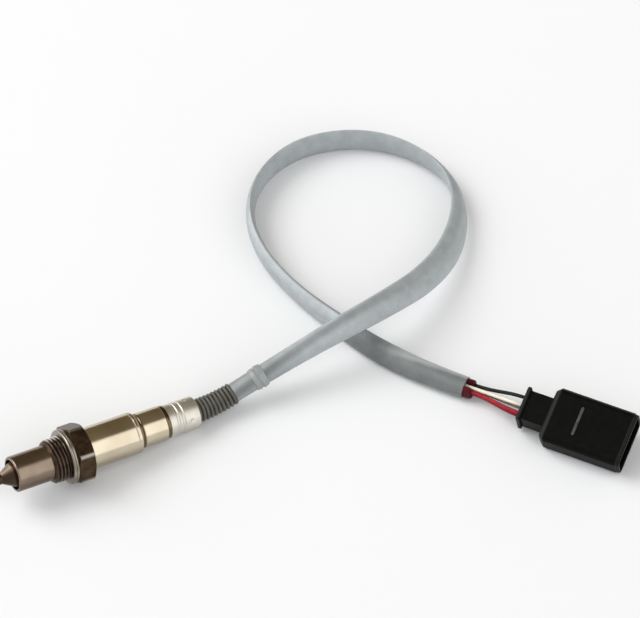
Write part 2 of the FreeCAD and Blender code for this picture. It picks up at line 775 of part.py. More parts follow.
def make_plug_housing():
    body = new_body("plug_housing")
    half = "Size.plug_width / 2"
    block(body, rectangle(f"-{half}", half, "0", "Size.plug_height"), "0", MOUTH)
    round_off(body, "Size.plug_round", runs_along_x)
    round_off(body, "Size.plug_rear_bevel",
              lambda edge: all(abs(vertex.X) < 0.01 for vertex in edge.Vertexes),
              "PartDesign::Chamfer", "Size")
    inside = box_about_axis("(Size.plug_width - 2 * Size.plug_wall)",
                            "(Size.plug_height - 2 * Size.plug_wall)")
    block(body, inside, "Size.cap_insert", f"({MOUTH} + 1)", "PartDesign::Pocket")
    rear = box_about_axis("(Size.cap_width + 2 * Size.slip)", "(Size.cap_height + 2 * Size.slip)")
    block(body, rear, "(-1)", "(Size.cap_insert + 1)", "PartDesign::Pocket")
    # Slot in the top for the slide that locks the terminals
    sketch = new_sketch(body, "XY_Plane", "(Size.plug_height - 2 * Size.plug_wall)")
    add_outline(sketch, lock_outline("Size.slip"))
    push(body, sketch, "3 * Size.plug_wall", "PartDesign::Pocket")
    return body


def make_plug_rear_cap():
    body = new_body("plug_rear_cap")
    block(body, box_about_axis("Size.cap_width", "Size.cap_height"), CAP_REAR, "Size.cap_insert")
    block(body, box_about_axis("Size.flange_width", "Size.flange_height"), CAP_REAR, SEAL_REAR)
    room = box_about_axis("(Size.cap_width - 2 * Size.cap_wall)",
                          "(Size.cap_height - 2 * Size.cap_wall)")
    block(body, room, SEAL_REAR, "(Size.cap_insert + 1)", "PartDesign::Pocket")
    rods(body, CAVITIES, "Size.wire_dia / 2 + 4 * Size.slip", f"({CAP_REAR} - 1)",
         f"({SEAL_REAR} + 1)", "PartDesign::Pocket")
    return body


def make_wire_seal():
    body = new_body("wire_seal")
    block(body, box_about_axis("(Size.cap_width - 2 * Size.cap_wall - 2 * Size.slip)",
                               "(Size.cap_height - 2 * Size.cap_wall - 2 * Size.slip)"),
          SEAL_REAR, SEAL_FRONT)
    rods(body, CAVITIES[:-1], "Size.wire_dia / 2 + 2 * Size.slip", f"({SEAL_REAR} - 1)",
         f"({SEAL_FRONT} + 1)", "PartDesign::Pocket")
    return body


RESISTOR_FLOOR = "(Size.plug_height - Size.plug_wall - Size.slip - Size.resistor_height)"


def resistor_outline(gap):
    """The resistor's outline, seen from above, in the pin holder's top beside the mouth."""
    start = f"({MOUTH_FLOOR} - Size.resistor_length - Size.plug_wall)"
    return rectangle(f"{start} - {gap}", f"{start} + Size.resistor_length + {gap}",
                     f"-Size.resistor_width / 2 - {gap}", f"Size.resistor_width / 2 + {gap}")


def make_pin_holder():
    body = new_body("pin_holder")
    block(body, box_about_axis("(Size.cap_width - 2 * Size.cap_wall - 2 * Size.slip)",
                               "(Size.cap_height - 2 * Size.cap_wall - 2 * Size.slip)"),
          SEAL_FRONT, "Size.cap_insert")
    block(body, box_about_axis(HOLDER_WIDTH, HOLDER_HEIGHT), "Size.cap_insert", MOUTH_FLOOR)
    barrel_front = f"({SEAL_FRONT} + Size.pin_barrel_length)"
    rods(body, CAVITIES, "Size.pin_barrel_dia / 2 + Size.slip", f"({SEAL_FRONT} - 1)",
         barrel_front, "PartDesign::Pocket")
    rods(body, CAVITIES, "Size.pin_dia / 2 + Size.slip", f"({SEAL_FRONT} - 1)",
         f"({MOUTH_FLOOR} + 1)", "PartDesign::Pocket")
    # Slot for the locking slide, and a bed for the trimming resistor beside the pins
    sketch = new_sketch(body, "XY_Plane", "(Size.plug_height - Size.plug_wall - Size.lock_depth)")
    add_outline(sketch, lock_outline("Size.slip"))
    push(body, sketch, "Size.lock_depth + Size.plug_wall", "PartDesign::Pocket")
    sketch = new_sketch(body, "XY_Plane", RESISTOR_FLOOR)
    add_outline(sketch, resistor_outline("Size.slip"))
    push(body, sketch, "Size.plug_height", "PartDesign::Pocket")
    return body


def make_calibration_resistor():
    body = new_body("calibration_resistor")
    sketch = new_sketch(body, "XY_Plane", RESISTOR_FLOOR)
    add_outline(sketch, resistor_outline("0"))
    push(body, sketch, "Size.resistor_height")
    return body


def make_terminal_lock():
    body = new_body("terminal_lock")
    sketch = new_sketch(body, "XY_Plane", "(Size.plug_height - Size.plug_wall - Size.lock_depth)")
    add_outline(sketch, lock_outline("0"))
    push(body, sketch, "Size.lock_depth + Size.plug_wall + Size.lock_proud")
    return body


def make_plug_pin(number, centre):
    body = new_body(f"plug_pin_{number}")
    barrel_front = f"({SEAL_FRONT} + Size.pin_barrel_length)"
    tip = f"({MOUTH_FLOOR} + Size.pin_reach)"
    rods(body, [centre], "Size.pin_barrel_dia / 2", SEAL_FRONT, barrel_front)
    rods(body, [centre], "Size.pin_dia / 2", f"({barrel_front} - 1)", tip)
    round_off(body, "Size.pin_dia / 4",
              lambda edge: all(abs(vertex.X - value(tip)) < 0.01 for vertex in edge.Vertexes))
    return body


# Wires from the sleeve's end to the plug, in the plug's own frame. Each starts beside the
# sleeve's axis, as its pair of shares of wire_spread says, and ends in its cavity.
WIRE_STARTS = [(-1, 0.5), (0, 0.55), (1, 0.4), (-0.55, -0.5), (0.55, -0.5)]
WIRE_CORNERS = [-30.0, -22.0, -14.5]
WIRE_EASE = [0, 0.5]


def make_plug_wire(label, start, cavity):
    spread = value("Size.wire_spread")
    beside = Vector(SLEEVE_END[0], SLEEVE_END[1] + start[0] * spread,
                    SLEEVE_END[2] + start[1] * spread)
    begin = PLUG_LYING.inverse().multVec(PLUG_GROUND.multVec(beside))
    goal = Vector(value(SEAL_FRONT), value(cavity[0]), value(cavity[1]))
    points = [begin]
    for x, ease in zip(WIRE_CORNERS, WIRE_EASE + [1]):
        points.append(Vector(x, begin.y + ease * (goal.y - begin.y),
                             begin.z + ease * (goal.z - begin.z)))
    points.append(goal)
    return cord(label, points, value("Size.wire_dia / 2"))


def make_sleeve_liner():
    body = new_body("sleeve_liner")
    rear = f"({SLEEVE_END[0]} + Size.liner_length)"
    rods(body, [(str(SLEEVE_END[1]), str(SLEEVE_END[2]))], "Size.liner_dia / 2",
         f"({SLEEVE_END[0]})", rear)
    centres = [(f"{SLEEVE_END[1]} + {across} * Size.wire_spread",
                f"{SLEEVE_END[2]} + {up} * Size.wire_spread") for across, up in WIRE_STARTS]
    rods(body, centres, "Size.wire_dia / 2 + Size.slip", f"({SLEEVE_END[0]} - 1)",
         f"({rear} + 1)", "PartDesign::Pocket")
    body.Placement = PLUG_GROUND
    return body


probe = [
    make_outer_protection_tube(),
    make_inner_protection_tube(),
    make_sensor_shell(),
    make_seat_gasket(),
    make_packing_ring("front_bushing", PACK_FRONT, TALC_FRONT),
    make_packing_ring("talc_seal", TALC_FRONT, REAR_BUSHING_FRONT),
    make_rear_bushing(),
    make_clamp_ring(),
    make_sensing_element(),
    make_contact_holder(),
    make_holder_spring(),
    make_body_sleeve(),
    make_crimp_sleeve(),
    make_rubber_grommet(),
    make_corrugated_boot(),
]
for number, (barrel, strip, side) in enumerate(CONTACTS, 1):
    probe.append(make_contact_spring(number, barrel, strip, side))
for number, (across, up) in enumerate(lead_centres(), 1):
    probe.append(make_lead_wire(number, across, up))
for piece in probe:
    piece.Placement = LYING

cable = [make_cable_sleeve(), make_sleeve_collar(), make_sleeve_liner()]

plug = [
    make_plug_housing(),
    make_plug_rear_cap(),
    make_wire_seal(),
    make_pin_holder(),
    make_calibration_resistor(),
    make_terminal_lock(),
]
for number, centre in enumerate(CAVITIES, 1):
    plug.append(make_plug_pin(number, centre))
for label, start, cavity in zip(WIRES, WIRE_STARTS, CAVITIES):
    plug.append(make_plug_wire(label, start, cavity))
for piece in plug:
    piece.Placement = PLUG_LYING

doc.recompute()
for item in doc.Objects:
    if "Invalid" in item.State or "Error" in item.State:
        raise RuntimeError(f"{item.Label} failed: {item.State}")
pieces = probe + cable + plug
for piece in pieces:
    shape = piece.Shape
    if shape.isNull() or not shape.isValid() or len(shape.Solids) != 1:
        raise RuntimeError(f"{piece.Label} has no sound single solid")

os.makedirs("parts", exist_ok=True)
for piece in pieces:
    piece.Shape.exportStep(f"parts/{piece.Label}.step")
print(f"{len(pieces)} pieces")
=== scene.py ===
import json
import math

import bpy
from mathutils import Matrix, Vector


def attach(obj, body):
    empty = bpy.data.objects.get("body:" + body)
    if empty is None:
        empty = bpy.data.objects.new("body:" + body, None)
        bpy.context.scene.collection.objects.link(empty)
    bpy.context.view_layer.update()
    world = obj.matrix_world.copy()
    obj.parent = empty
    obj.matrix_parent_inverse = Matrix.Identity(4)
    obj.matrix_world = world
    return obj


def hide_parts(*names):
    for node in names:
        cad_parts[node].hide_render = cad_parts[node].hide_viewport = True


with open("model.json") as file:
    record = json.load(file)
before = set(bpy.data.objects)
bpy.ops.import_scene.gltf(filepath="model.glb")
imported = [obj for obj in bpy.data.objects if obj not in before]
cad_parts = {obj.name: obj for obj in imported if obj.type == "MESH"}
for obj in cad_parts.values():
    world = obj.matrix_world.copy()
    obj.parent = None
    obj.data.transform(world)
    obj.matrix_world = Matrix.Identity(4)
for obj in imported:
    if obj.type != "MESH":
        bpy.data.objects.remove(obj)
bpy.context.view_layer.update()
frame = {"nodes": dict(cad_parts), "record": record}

# The table is a plain pale board, far wider than the view. The sensor lies on it, and its soft
# shadows fall on it towards the camera's right.
TABLE_REACH = 4.0
TABLE_COLOUR = (0.80, 0.808, 0.815, 1)
table_mesh = bpy.data.meshes.new("table")
table_mesh.from_pydata([(-TABLE_REACH, -TABLE_REACH, 0), (TABLE_REACH, -TABLE_REACH, 0),
                        (TABLE_REACH, TABLE_REACH, 0), (-TABLE_REACH, TABLE_REACH, 0)],
                       [], [(0, 1, 2, 3)])
table = bpy.data.objects.new("table", table_mesh)
bpy.context.scene.collection.objects.link(table)
table_paint = bpy.data.materials.new("pale_board")
table_paint.use_nodes = True
board = table_paint.node_tree.nodes["Principled BSDF"]
board.inputs["Base Color"].default_value = TABLE_COLOUR
board.inputs["Roughness"].default_value = 0.9
board.inputs["Specular IOR Level"].default_value = 0.1
table_mesh.materials.append(table_paint)

# The camera stands where the photograph's did: about 50 degrees above the table and 1.5 m off. It
# looks across the probe, turned 29 degrees towards the cable, through a long lens.
CAMERA_PLACE = (-0.36274, -0.81499, 1.14907)
VIEW_CENTRE = Vector((0.10692, 0.02707, 0))
FILM_WIDTH, FOCAL_LENGTH = 36.0, 205.0
camera_data = bpy.data.cameras.new("camera")
camera_data.sensor_width = FILM_WIDTH
camera_data.lens = FOCAL_LENGTH
camera = bpy.data.objects.new("camera", camera_data)
camera.location = CAMERA_PLACE
camera.rotation_euler = (VIEW_CENTRE - camera.location).to_track_quat("-Z", "Y").to_euler()
bpy.context.scene.collection.objects.link(camera)
bpy.context.scene.camera = camera

# The light is soft. The sky is bright over the camera and dim from overhead to the far side,
# which gives the metal its dark stripe. On the left it is dimmer in front and bright behind, and
# far to the right it is dim. One broad lamp on the left, a little behind, throws the shadows.
SKY_STRENGTH = 1.52
SKY_BEYOND_TABLE = 0.95
# Bands of light from the front over the top to the back: (place, red, green, blue)
SKY_BANDS = [(0.0, 1.12, 1.12, 1.13), (0.33, 1.12, 1.12, 1.13), (0.41, 0.145, 0.12, 0.08),
             (1.0, 0.125, 0.10, 0.06)]
SKY_LEFT_BANDS = [(0.0, 0.45, 0.45, 0.46), (0.45, 0.55, 0.55, 0.56), (0.6, 0.98, 0.98, 0.98),
                  (1.0, 0.98, 0.98, 0.98)]
SKY_RIGHT = 0.42
LAMP_PLACE, LAMP_SIZE, LAMP_WATTS = (-1.5, 1.5, 2.4), 1.9, 50.0


def grey(level):
    """A neutral colour, as the shader takes it."""
    return level, level, level, 1


def eased(tree, value, begin, full, least=0.0, most=1.0):
    """Goes from least to most as a value goes from begin to full."""
    step = tree.nodes.new("ShaderNodeMapRange")
    step.inputs["From Min"].default_value = begin
    step.inputs["From Max"].default_value = full
    step.inputs["To Min"].default_value = least
    step.inputs["To Max"].default_value = most
    tree.links.new(value, step.inputs["Value"])
    return step.outputs["Result"]


def banded(tree, value, stops):
    """A colour that goes from stop to stop as a value goes from 0 to 1. A stop is (place, red,
    green, blue)."""
    ramp = tree.nodes.new("ShaderNodeValToRGB")
    while len(ramp.color_ramp.elements) < len(stops):
        ramp.color_ramp.elements.new(1.0)
    for stop, (place, red, green, blue) in zip(ramp.color_ramp.elements, stops):
        stop.position = place
        stop.color = (red, green, blue, 1)
    tree.links.new(value, ramp.inputs["Fac"])
    return ramp.outputs["Color"]


def mixed(tree, share, first, second, blend="MIX"):
    """Mixes a second colour into a first one. Each of the three is a socket or a value."""
    step = tree.nodes.new("ShaderNodeMix")
    step.data_type = "RGBA"
    step.blend_type = blend
    for name, source in (("Factor", share), ("A", first), ("B", second)):
        if isinstance(source, bpy.types.NodeSocket):
            tree.links.new(source, step.inputs[name])
        else:
            step.inputs[name].default_value = source
    return step.outputs["Result"]


sky = bpy.data.worlds.new("studio")
sky.use_nodes = True
bpy.context.scene.world = sky
sky_tree = sky.node_tree
sky_way = sky_tree.nodes.new("ShaderNodeTexCoord")
sky_split = sky_tree.nodes.new("ShaderNodeSeparateXYZ")
sky_tree.links.new(sky_way.outputs["Generated"], sky_split.inputs[0])
sky_far = eased(sky_tree, sky_split.outputs["Y"], -1.0, 1.0)
sky_on_left = eased(sky_tree, sky_split.outputs["X"], 0.0, -0.25)
sky_on_right = eased(sky_tree, sky_split.outputs["X"], 0.55, 0.75)
sky_seen = sky_tree.nodes.new("ShaderNodeLightPath")
sky_colour = mixed(sky_tree, sky_on_left, banded(sky_tree, sky_far, SKY_BANDS),
                   banded(sky_tree, sky_far, SKY_LEFT_BANDS))
sky_colour = mixed(sky_tree, sky_on_right, sky_colour, grey(SKY_RIGHT))
sky_colour = mixed(sky_tree, sky_seen.outputs["Is Camera Ray"], sky_colour,
                   grey(SKY_BEYOND_TABLE / SKY_STRENGTH))
sky_tree.links.new(sky_colour, sky_tree.nodes["Background"].inputs["Color"])
sky_tree.nodes["Background"].inputs["Strength"].default_value = SKY_STRENGTH
lamp_data = bpy.data.lights.new("back_lamp", "AREA")
lamp_data.size = LAMP_SIZE
lamp_data.energy = LAMP_WATTS
lamp = bpy.data.objects.new("back_lamp", lamp_data)
lamp.location = LAMP_PLACE
lamp.rotation_euler = (VIEW_CENTRE - lamp.location).to_track_quat("-Z", "Y").to_euler()
bpy.context.scene.collection.objects.link(lamp)
bpy.context.scene.view_settings.view_transform = "Standard"

# The sensing strip and its packing are sealed inside the probe: fired white ceramic bushings,
# a pressed talc ring, a ceramic contact holder and their small steel and nickel pieces.
MM = 0.001


def tone(red, green, blue):
    """A colour given as 0 to 255 on the screen, as the shader takes it."""
    def linear(part):
        part /= 255
        return part / 12.92 if part <= 0.04045 else ((part + 0.055) / 1.055) ** 2.4
    return linear(red), linear(green), linear(blue), 1.0


def surface(name, pale, dark, roughness, metallic=0.0, speckle=900.0, grain=0.15, relief=0.02,
            specular=0.5):
    """A finish mottled between two colours, with fine grain in its sheen and its relief.
    speckle is spots per metre, grain the spread of the roughness, relief a height in mm and
    specular how strongly it mirrors where it isn't metal."""
    material = bpy.data.materials.new(name)
    material.use_nodes = True
    tree = material.node_tree
    shader = tree.nodes["Principled BSDF"]
    shader.inputs["Metallic"].default_value = metallic
    shader.inputs["Specular IOR Level"].default_value = specular
    place = tree.nodes.new("ShaderNodeTexCoord")
    noises = []
    for scale, detail in ((speckle / 4, 5), (speckle * 2, 3)):
        noise = tree.nodes.new("ShaderNodeTexNoise")
        noise.inputs["Scale"].default_value = scale
        noise.inputs["Detail"].default_value = detail
        tree.links.new(place.outputs["Object"], noise.inputs["Vector"])
        noises.append(noise.outputs["Fac"])
    mottle, fine = noises
    colour = banded(tree, mottle, [(0.35, *dark[:3]), (0.65, *pale[:3])])
    sheen = eased(tree, mottle, 0.0, 1.0, roughness - grain / 2, roughness + grain / 2)
    bump = tree.nodes.new("ShaderNodeBump")
    bump.inputs["Strength"].default_value = 0.5
    bump.inputs["Distance"].default_value = relief * MM
    tree.links.new(fine, bump.inputs["Height"])
    tree.links.new(colour, shader.inputs["Base Color"])
    tree.links.new(sheen, shader.inputs["Roughness"])
    tree.links.new(bump.outputs["Normal"], shader.inputs["Normal"])
    return material


def dress(material, *names):
    """Gives CAD pieces their finish."""
    for name in names:
        frame["nodes"][name].material_slots[0].material = material


dress(surface("fired_ceramic", tone(232, 229, 220), tone(214, 209, 198), 0.6, relief=0.03),
      "front_bushing", "rear_bushing", "contact_holder")
dress(surface("pressed_talc", tone(214, 214, 208), tone(192, 191, 186), 0.8, relief=0.06),
      "talc_seal")
dress(surface("zirconia_strip", tone(222, 220, 206), tone(206, 202, 186), 0.35, relief=0.01),
      "sensing_element")
dress(surface("spring_steel", tone(176, 176, 174), tone(148, 147, 144), 0.35, 1.0),
      "clamp_ring", "holder_spring")
dress(surface("nickel_contact", tone(200, 192, 172), tone(176, 166, 144), 0.3, 1.0),
      *[f"contact_spring_{number}" for number in range(1, 6)])

# The gas side is two thin drawn tubes of heat stained steel, one inside the other. The inner
# one's cone and nose, with their small gas hole, stand out of the outer one's rolled rim.
SEAT_TO_THREAD = 5.25
ARC_STEPS = 5
thread_mount = next(m for m in frame["record"]["mounts"] if m["name"] == "thread")
tip_way = Vector(thread_mount["axis"]).normalized()
seat = Vector(thread_mount["pos_m"]) - SEAT_TO_THREAD * MM * tip_way
across_way = Vector((0, 1, 0))
turn_to_probe = Matrix((-tip_way, across_way, (-tip_way).cross(across_way))).transposed()
# PROBE takes mm from the seat (along towards the cable, across, up) to their place in metres
PROBE = Matrix.Translation(seat) @ turn_to_probe.to_4x4() @ Matrix.Scale(MM, 4)


def rounded(corners):
    """An outline from (along, radius, rounding) corners in mm, each bend a small arc."""
    outline = []
    ends = corners[-1:] + corners + corners[:1]
    for before, corner, after in zip(ends, ends[1:], ends[2:]):
        here = Vector(corner[:2])
        if corner[2] == 0:
            outline.append(here)
            continue
        back = (Vector(before[:2]) - here).normalized()
        onward = (Vector(after[:2]) - here).normalized()
        setback = corner[2] / math.tan(back.angle(onward) / 2)
        start, end = here + back * setback, here + onward * setback
        for step in range(ARC_STEPS + 1):
            share = step / ARC_STEPS
            outline.append(start * (1 - share) ** 2 + here * 2 * share * (1 - share)
                           + end * share ** 2)
    return outline


def skinned(name, rings, closed=True):
    """A mesh of quads over rings of points with as many points each. closed joins the last
    ring to the first, and otherwise both ends are capped. Its map runs by ring and round."""
    mesh = bpy.data.meshes.new(name)
    count, sides = len(rings), len(rings[0])
    points = [point for ring in rings for point in ring]
    faces, marks = [], []
    for row in range(count if closed else count - 1):
        after = (row + 1) % count
        for side in range(sides):
            beside = (side + 1) % sides
            faces.append((row * sides + side, after * sides + side,
                          after * sides + beside, row * sides + beside))
            marks += [(row, side), (row + 1, side), (row + 1, side + 1), (row, side + 1)]
    if not closed:
        faces.append(tuple(range(sides)))
        marks += [(0, side) for side in range(sides)]
        faces.append(tuple((count - 1) * sides + side for side in reversed(range(sides))))
        marks += [(count - 1, side) for side in reversed(range(sides))]
    mesh.from_pydata(points, [], faces)
    lay = mesh.uv_layers.new(name="lay")
    for corner, (row, side) in zip(lay.data, marks):
        corner.uv = (row / count, side / sides)
    return mesh


def add_piece(name, mesh, material, slot, *replaced, crease=35):
    """Puts a mesh on the object, with even shading and its edges over crease degrees sharp."""
    piece = bpy.data.objects.new(name, mesh)
    bpy.context.scene.collection.objects.link(piece)
    mesh.materials.append(material)
    mesh.polygons.foreach_set("use_smooth", [True] * len(mesh.polygons))
    mesh.set_sharp_from_angle(angle=math.radians(crease))
    piece.modifiers.new("even_shading", "WEIGHTED_NORMAL").keep_sharp = True
    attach(piece, "root")
    if replaced:
        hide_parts(*replaced)
    return piece


def turned(name, outline, sides=144, swell=None):
    """A mesh turned about the probe's axis from (along, radius) points in mm. swell(along,
    angle, radius) gives the radius where it isn't the same all round."""
    area = sum(a[0] * b[1] - b[0] * a[1] for a, b in zip(outline, outline[1:] + outline[:1]))
    if area < 0:
        outline = outline[::-1]
    rings = []
    for along, radius in outline:
        ring = []
        for side in range(sides):
            angle = 2 * math.pi * side / sides
            here = swell(along, angle, radius) if swell else radius
            ring.append(PROBE @ Vector((along, here * math.cos(angle), here * math.sin(angle))))
        rings.append(ring)
    return skinned(name, rings)


def mark_points(mesh, name, shares):
    """Writes a share for each point of a mesh, which its finish reads by name."""
    mesh.attributes.new(name, "FLOAT", "POINT").data.foreach_set("value", shares)


def mark_turned(mesh, share_at):
    """Writes a turned mesh's wear, painted shade and highlight from share_at(along, across, up) in
    mm.
    """
    to_probe = PROBE.inverted()
    mark_points(mesh, "wear_and_painted_light", [share_at(*(to_probe @ vertex.co)) for vertex in mesh.vertices])


def marked(material, mark, share):
    """Turns a finish to another colour where its points carry wear and painted light and shade."""
    tree = material.node_tree
    wear_and_painted_light = tree.nodes.new("ShaderNodeAttribute")
    wear_and_painted_light.attribute_name = "wear_and_painted_light"
    amount = eased(tree, wear_and_painted_light.outputs["Fac"], 0.0, 1.0, most=share)
    colour = mixed(tree, amount, tree.nodes["Color Ramp"].outputs["Color"], mark)
    tree.links.new(colour, tree.nodes["Principled BSDF"].inputs["Base Color"])


def clamped(share):
    """Keeps a share between none and all."""
    return min(1.0, max(0.0, share))


TUBE_WALL, RIM_TURN = 0.5, 1.1
OUTER_RIM, OUTER_END, OUTER_RADIUS = -24.2, -6.3, 7.25
CONE_BASE, CONE_TIP, CONE_SLOPE, NOSE_TIP = -23.4, -29.2, 0.552, -31.2
INNER_RADIUS, NOSE_RADIUS, NOSE_HOLE = 5.4, 2.2, 0.8
FLANGE_RADIUS = OUTER_RADIUS - 1.1 * TUBE_WALL
# How far back from the cone's base it is painted black as shadow, and where the fade into it
# begins
SHADE_BAND, SHADE_EDGE = 1.2, 1.5
SHADE_FALLOFF = 2.2


def tube_painted_shade(along, across, up):
    """Painted shade: the outer tube's near underside is painted darker."""
    return clamped(0.9 - SHADE_FALLOFF * up / math.hypot(across, up)) if across < 0 else 0.0


def cone_painted_shade(along, across, up):
    """Painted shade: dark brown on the cone's near side, black where it leaves the rim."""
    if along > CONE_BASE - SHADE_BAND - 0.1:
        return 1.0
    return 0.85 * clamped(0.8 - SHADE_FALLOFF * across / math.hypot(across, up))


tube_steel = surface("heat_stained_steel_and_shade", tone(136, 121, 106), tone(126, 111, 97), 0.26, 1.0,
                     speckle=900, grain=0.06, relief=0.006)
outer_tube = turned("outer_tube", rounded([
    (OUTER_RIM, OUTER_RADIUS, 0.8),
    (OUTER_END, OUTER_RADIUS, 0),
    (OUTER_END, OUTER_RADIUS - TUBE_WALL, 0),
    (OUTER_RIM + RIM_TURN, OUTER_RADIUS - TUBE_WALL, 0.4),
    (OUTER_RIM + TUBE_WALL, OUTER_RADIUS - RIM_TURN, 0.05),
    (OUTER_RIM, OUTER_RADIUS - RIM_TURN, 0.1),
]))
mark_turned(outer_tube, tube_painted_shade)
# The mark is painted shade, darkening the tube's near underside
marked(tube_steel, tone(104, 90, 77), 1.0)
add_piece("outer_tube", outer_tube, tube_steel, "tube_steel", "outer_protection_tube")
cone_steel = surface("cone_steel_painted_shade", tone(150, 137, 122), tone(128, 114, 99), 0.34, 1.0,
                     speckle=900, grain=0.08, relief=0.01)
inner_tube = turned("inner_tube", rounded([
    (NOSE_TIP, NOSE_HOLE, 0.15),
    (NOSE_TIP, NOSE_RADIUS, 0.5),
    (CONE_TIP, NOSE_RADIUS, 0.4),
    (CONE_BASE - SHADE_EDGE, INNER_RADIUS - CONE_SLOPE * SHADE_EDGE, 0),
    (CONE_BASE - SHADE_BAND, INNER_RADIUS - CONE_SLOPE * SHADE_BAND, 0),
    (CONE_BASE, INNER_RADIUS, 0.8),
    (OUTER_END - TUBE_WALL, INNER_RADIUS, 0),
    (OUTER_END - TUBE_WALL, FLANGE_RADIUS, 0),
    (OUTER_END, FLANGE_RADIUS, 0),
    (OUTER_END, INNER_RADIUS - TUBE_WALL, 0),
    (CONE_BASE + TUBE_WALL / 2, INNER_RADIUS - TUBE_WALL, 0),
    (CONE_TIP + TUBE_WALL / 2, NOSE_RADIUS - TUBE_WALL, 0),
    (NOSE_TIP + TUBE_WALL, NOSE_RADIUS - TUBE_WALL, 0),
    (NOSE_TIP + TUBE_WALL, NOSE_HOLE, 0),
]))
mark_turned(inner_tube, cone_painted_shade)
# The mark is painted shade and shadow, near black
marked(cone_steel, tone(40, 25, 15), 1.0)
add_piece("inner_tube", inner_tube, cone_steel, "tube_steel", "inner_protection_tube")

# The shell is one turned steel piece, browned by heat: the M18 thread cut right-handed behind a
# chamfer, a relief groove for the gasket, and the 22 mm hexagon with its corners turned off.
THREAD_FRONT, THREAD_REAR, THREAD_RADIUS = -8.9, -2.6, 9.0
THREAD_PITCH, THREAD_DEPTH, THREAD_CHAMFER = 1.5, 0.85, 1.0
THREAD_RUN_IN, THREAD_RUN_OUT, THREAD_STEP = 0.3, 0.6, 0.1
GROOVE_SHARE, GROOVE_FLANK = 0.42, 1.25
RELIEF_RADIUS, RELIEF_REAR = 8.3, -0.05
THREAD_FLOOR = RELIEF_RADIUS - 0.6
HEX_FLAT, HEX_HEIGHT, HEX_CHAMFER, HEX_ROLL = 11.0, 7.3, 0.9, math.radians(10)
HEX_CORNER = HEX_FLAT / math.cos(math.radians(30))
HEX_FACE, HEX_TURNED = HEX_FLAT - 0.6, HEX_FLAT - 0.15
CORNER_WEAR, CORNER_REACH, CHAMFER_STEPS = 0.25, 0.5, 8
SHELL_SPIGOT, SHELL_REAR, SHELL_BORE = 7.9, 11.8, 5.2
TUBE_BORE, TUBE_SEAT = OUTER_RADIUS + 0.05, THREAD_FRONT + 2.6


def thread_depth(along, angle):
    """How deep the thread's groove is here, run out at both ends."""
    share = (along / THREAD_PITCH - angle / (2 * math.pi)) % 1
    groove = max(0.0, 1 - abs(share - 0.5) / GROOVE_SHARE)
    fade = min((THREAD_REAR - along) / THREAD_RUN_OUT, (along - THREAD_FRONT) / THREAD_RUN_IN)
    return THREAD_DEPTH * min(1.0, GROOVE_FLANK * groove) * clamped(fade)


def shell_radius(along, angle, radius):
    """Cuts the thread's groove and the hexagon's flats into the turned shell."""
    if THREAD_FRONT < along < THREAD_REAR and radius > THREAD_FLOOR:
        return min(radius, THREAD_RADIUS - thread_depth(along, angle))
    if 0 <= along <= HEX_HEIGHT and radius > HEX_FACE:
        turn = (angle + HEX_ROLL - math.radians(270)) % math.radians(60)
        off_flat = turn - math.radians(30)
        side = HEX_FLAT / math.cos(off_flat)
        side -= CORNER_WEAR * max(0.0, 1 - (HEX_CORNER - side) / CORNER_REACH) ** 2
        into = min(along, HEX_HEIGHT - along)
        cone = HEX_TURNED + into * (HEX_CORNER - HEX_TURNED) / HEX_CHAMFER
        return min(side, cone)
    return radius


def shell_wear_and_highlight(along, across, up):
    """Rubbed hexagon corners, a little paste on the crests and a painted highlight along one side.
    """
    radius = math.hypot(across, up)
    if 0 <= along <= HEX_HEIGHT:
        return 0.45 * clamped((radius - HEX_CORNER + 0.6) / 0.35)
    if along > THREAD_FRONT and radius > THREAD_FLOOR:
        crest = clamped((radius - THREAD_RADIUS + 0.5) / 0.4)
        return crest * (0.1 + 0.9 * clamped((across / radius - 0.25) / 0.3))
    return 0.0


chamfer_steps = [HEX_CHAMFER * step / CHAMFER_STEPS for step in range(CHAMFER_STEPS + 1)]
thread_steps = int((THREAD_REAR - THREAD_FRONT) / THREAD_STEP)
shell_outline = [(THREAD_FRONT, TUBE_BORE), (THREAD_FRONT, THREAD_RADIUS - THREAD_CHAMFER)]
for step in range(1, thread_steps):
    along = THREAD_FRONT + (THREAD_REAR - THREAD_FRONT) * step / thread_steps
    slope = THREAD_RADIUS - THREAD_CHAMFER + (along - THREAD_FRONT)
    shell_outline.append((along, min(THREAD_RADIUS, slope)))
shell_outline += [(THREAD_REAR, RELIEF_RADIUS), (RELIEF_REAR, RELIEF_RADIUS), (0, HEX_FACE)]
shell_outline += [(step, HEX_CORNER) for step in chamfer_steps]
shell_outline += [(HEX_HEIGHT - step, HEX_CORNER) for step in reversed(chamfer_steps)]
shell_outline += [(HEX_HEIGHT, HEX_FACE), (HEX_HEIGHT, SHELL_SPIGOT), (SHELL_REAR, SHELL_SPIGOT),
                  (SHELL_REAR, SHELL_BORE), (TUBE_SEAT, SHELL_BORE), (TUBE_SEAT, TUBE_BORE)]
browned_steel = surface("browned_steel", tone(78, 60, 44), tone(52, 38, 26), 0.32, 0.9,
                        speckle=1400, grain=0.15, relief=0.04)
shell = turned("threaded_shell", shell_outline, sides=360, swell=shell_radius)
mark_turned(shell, shell_wear_and_highlight)
# The mark is pale: rubbed corners, paste and a painted highlight on the far crests
marked(browned_steel, tone(204, 200, 190), 1.0)
shell_tree = browned_steel.node_tree
# Where the paste and painted highlight are strongest the steel doesn't show through: it is not
# metal there
paste_and_highlight = eased(shell_tree, shell_tree.nodes["Attribute"].outputs["Fac"], 0.45, 1.0, 0.9, 0.1)
shell_tree.links.new(paste_and_highlight, shell_tree.nodes["Principled BSDF"].inputs["Metallic"])
add_piece("threaded_shell", shell, browned_steel, "shell_steel", "sensor_shell", crease=28)

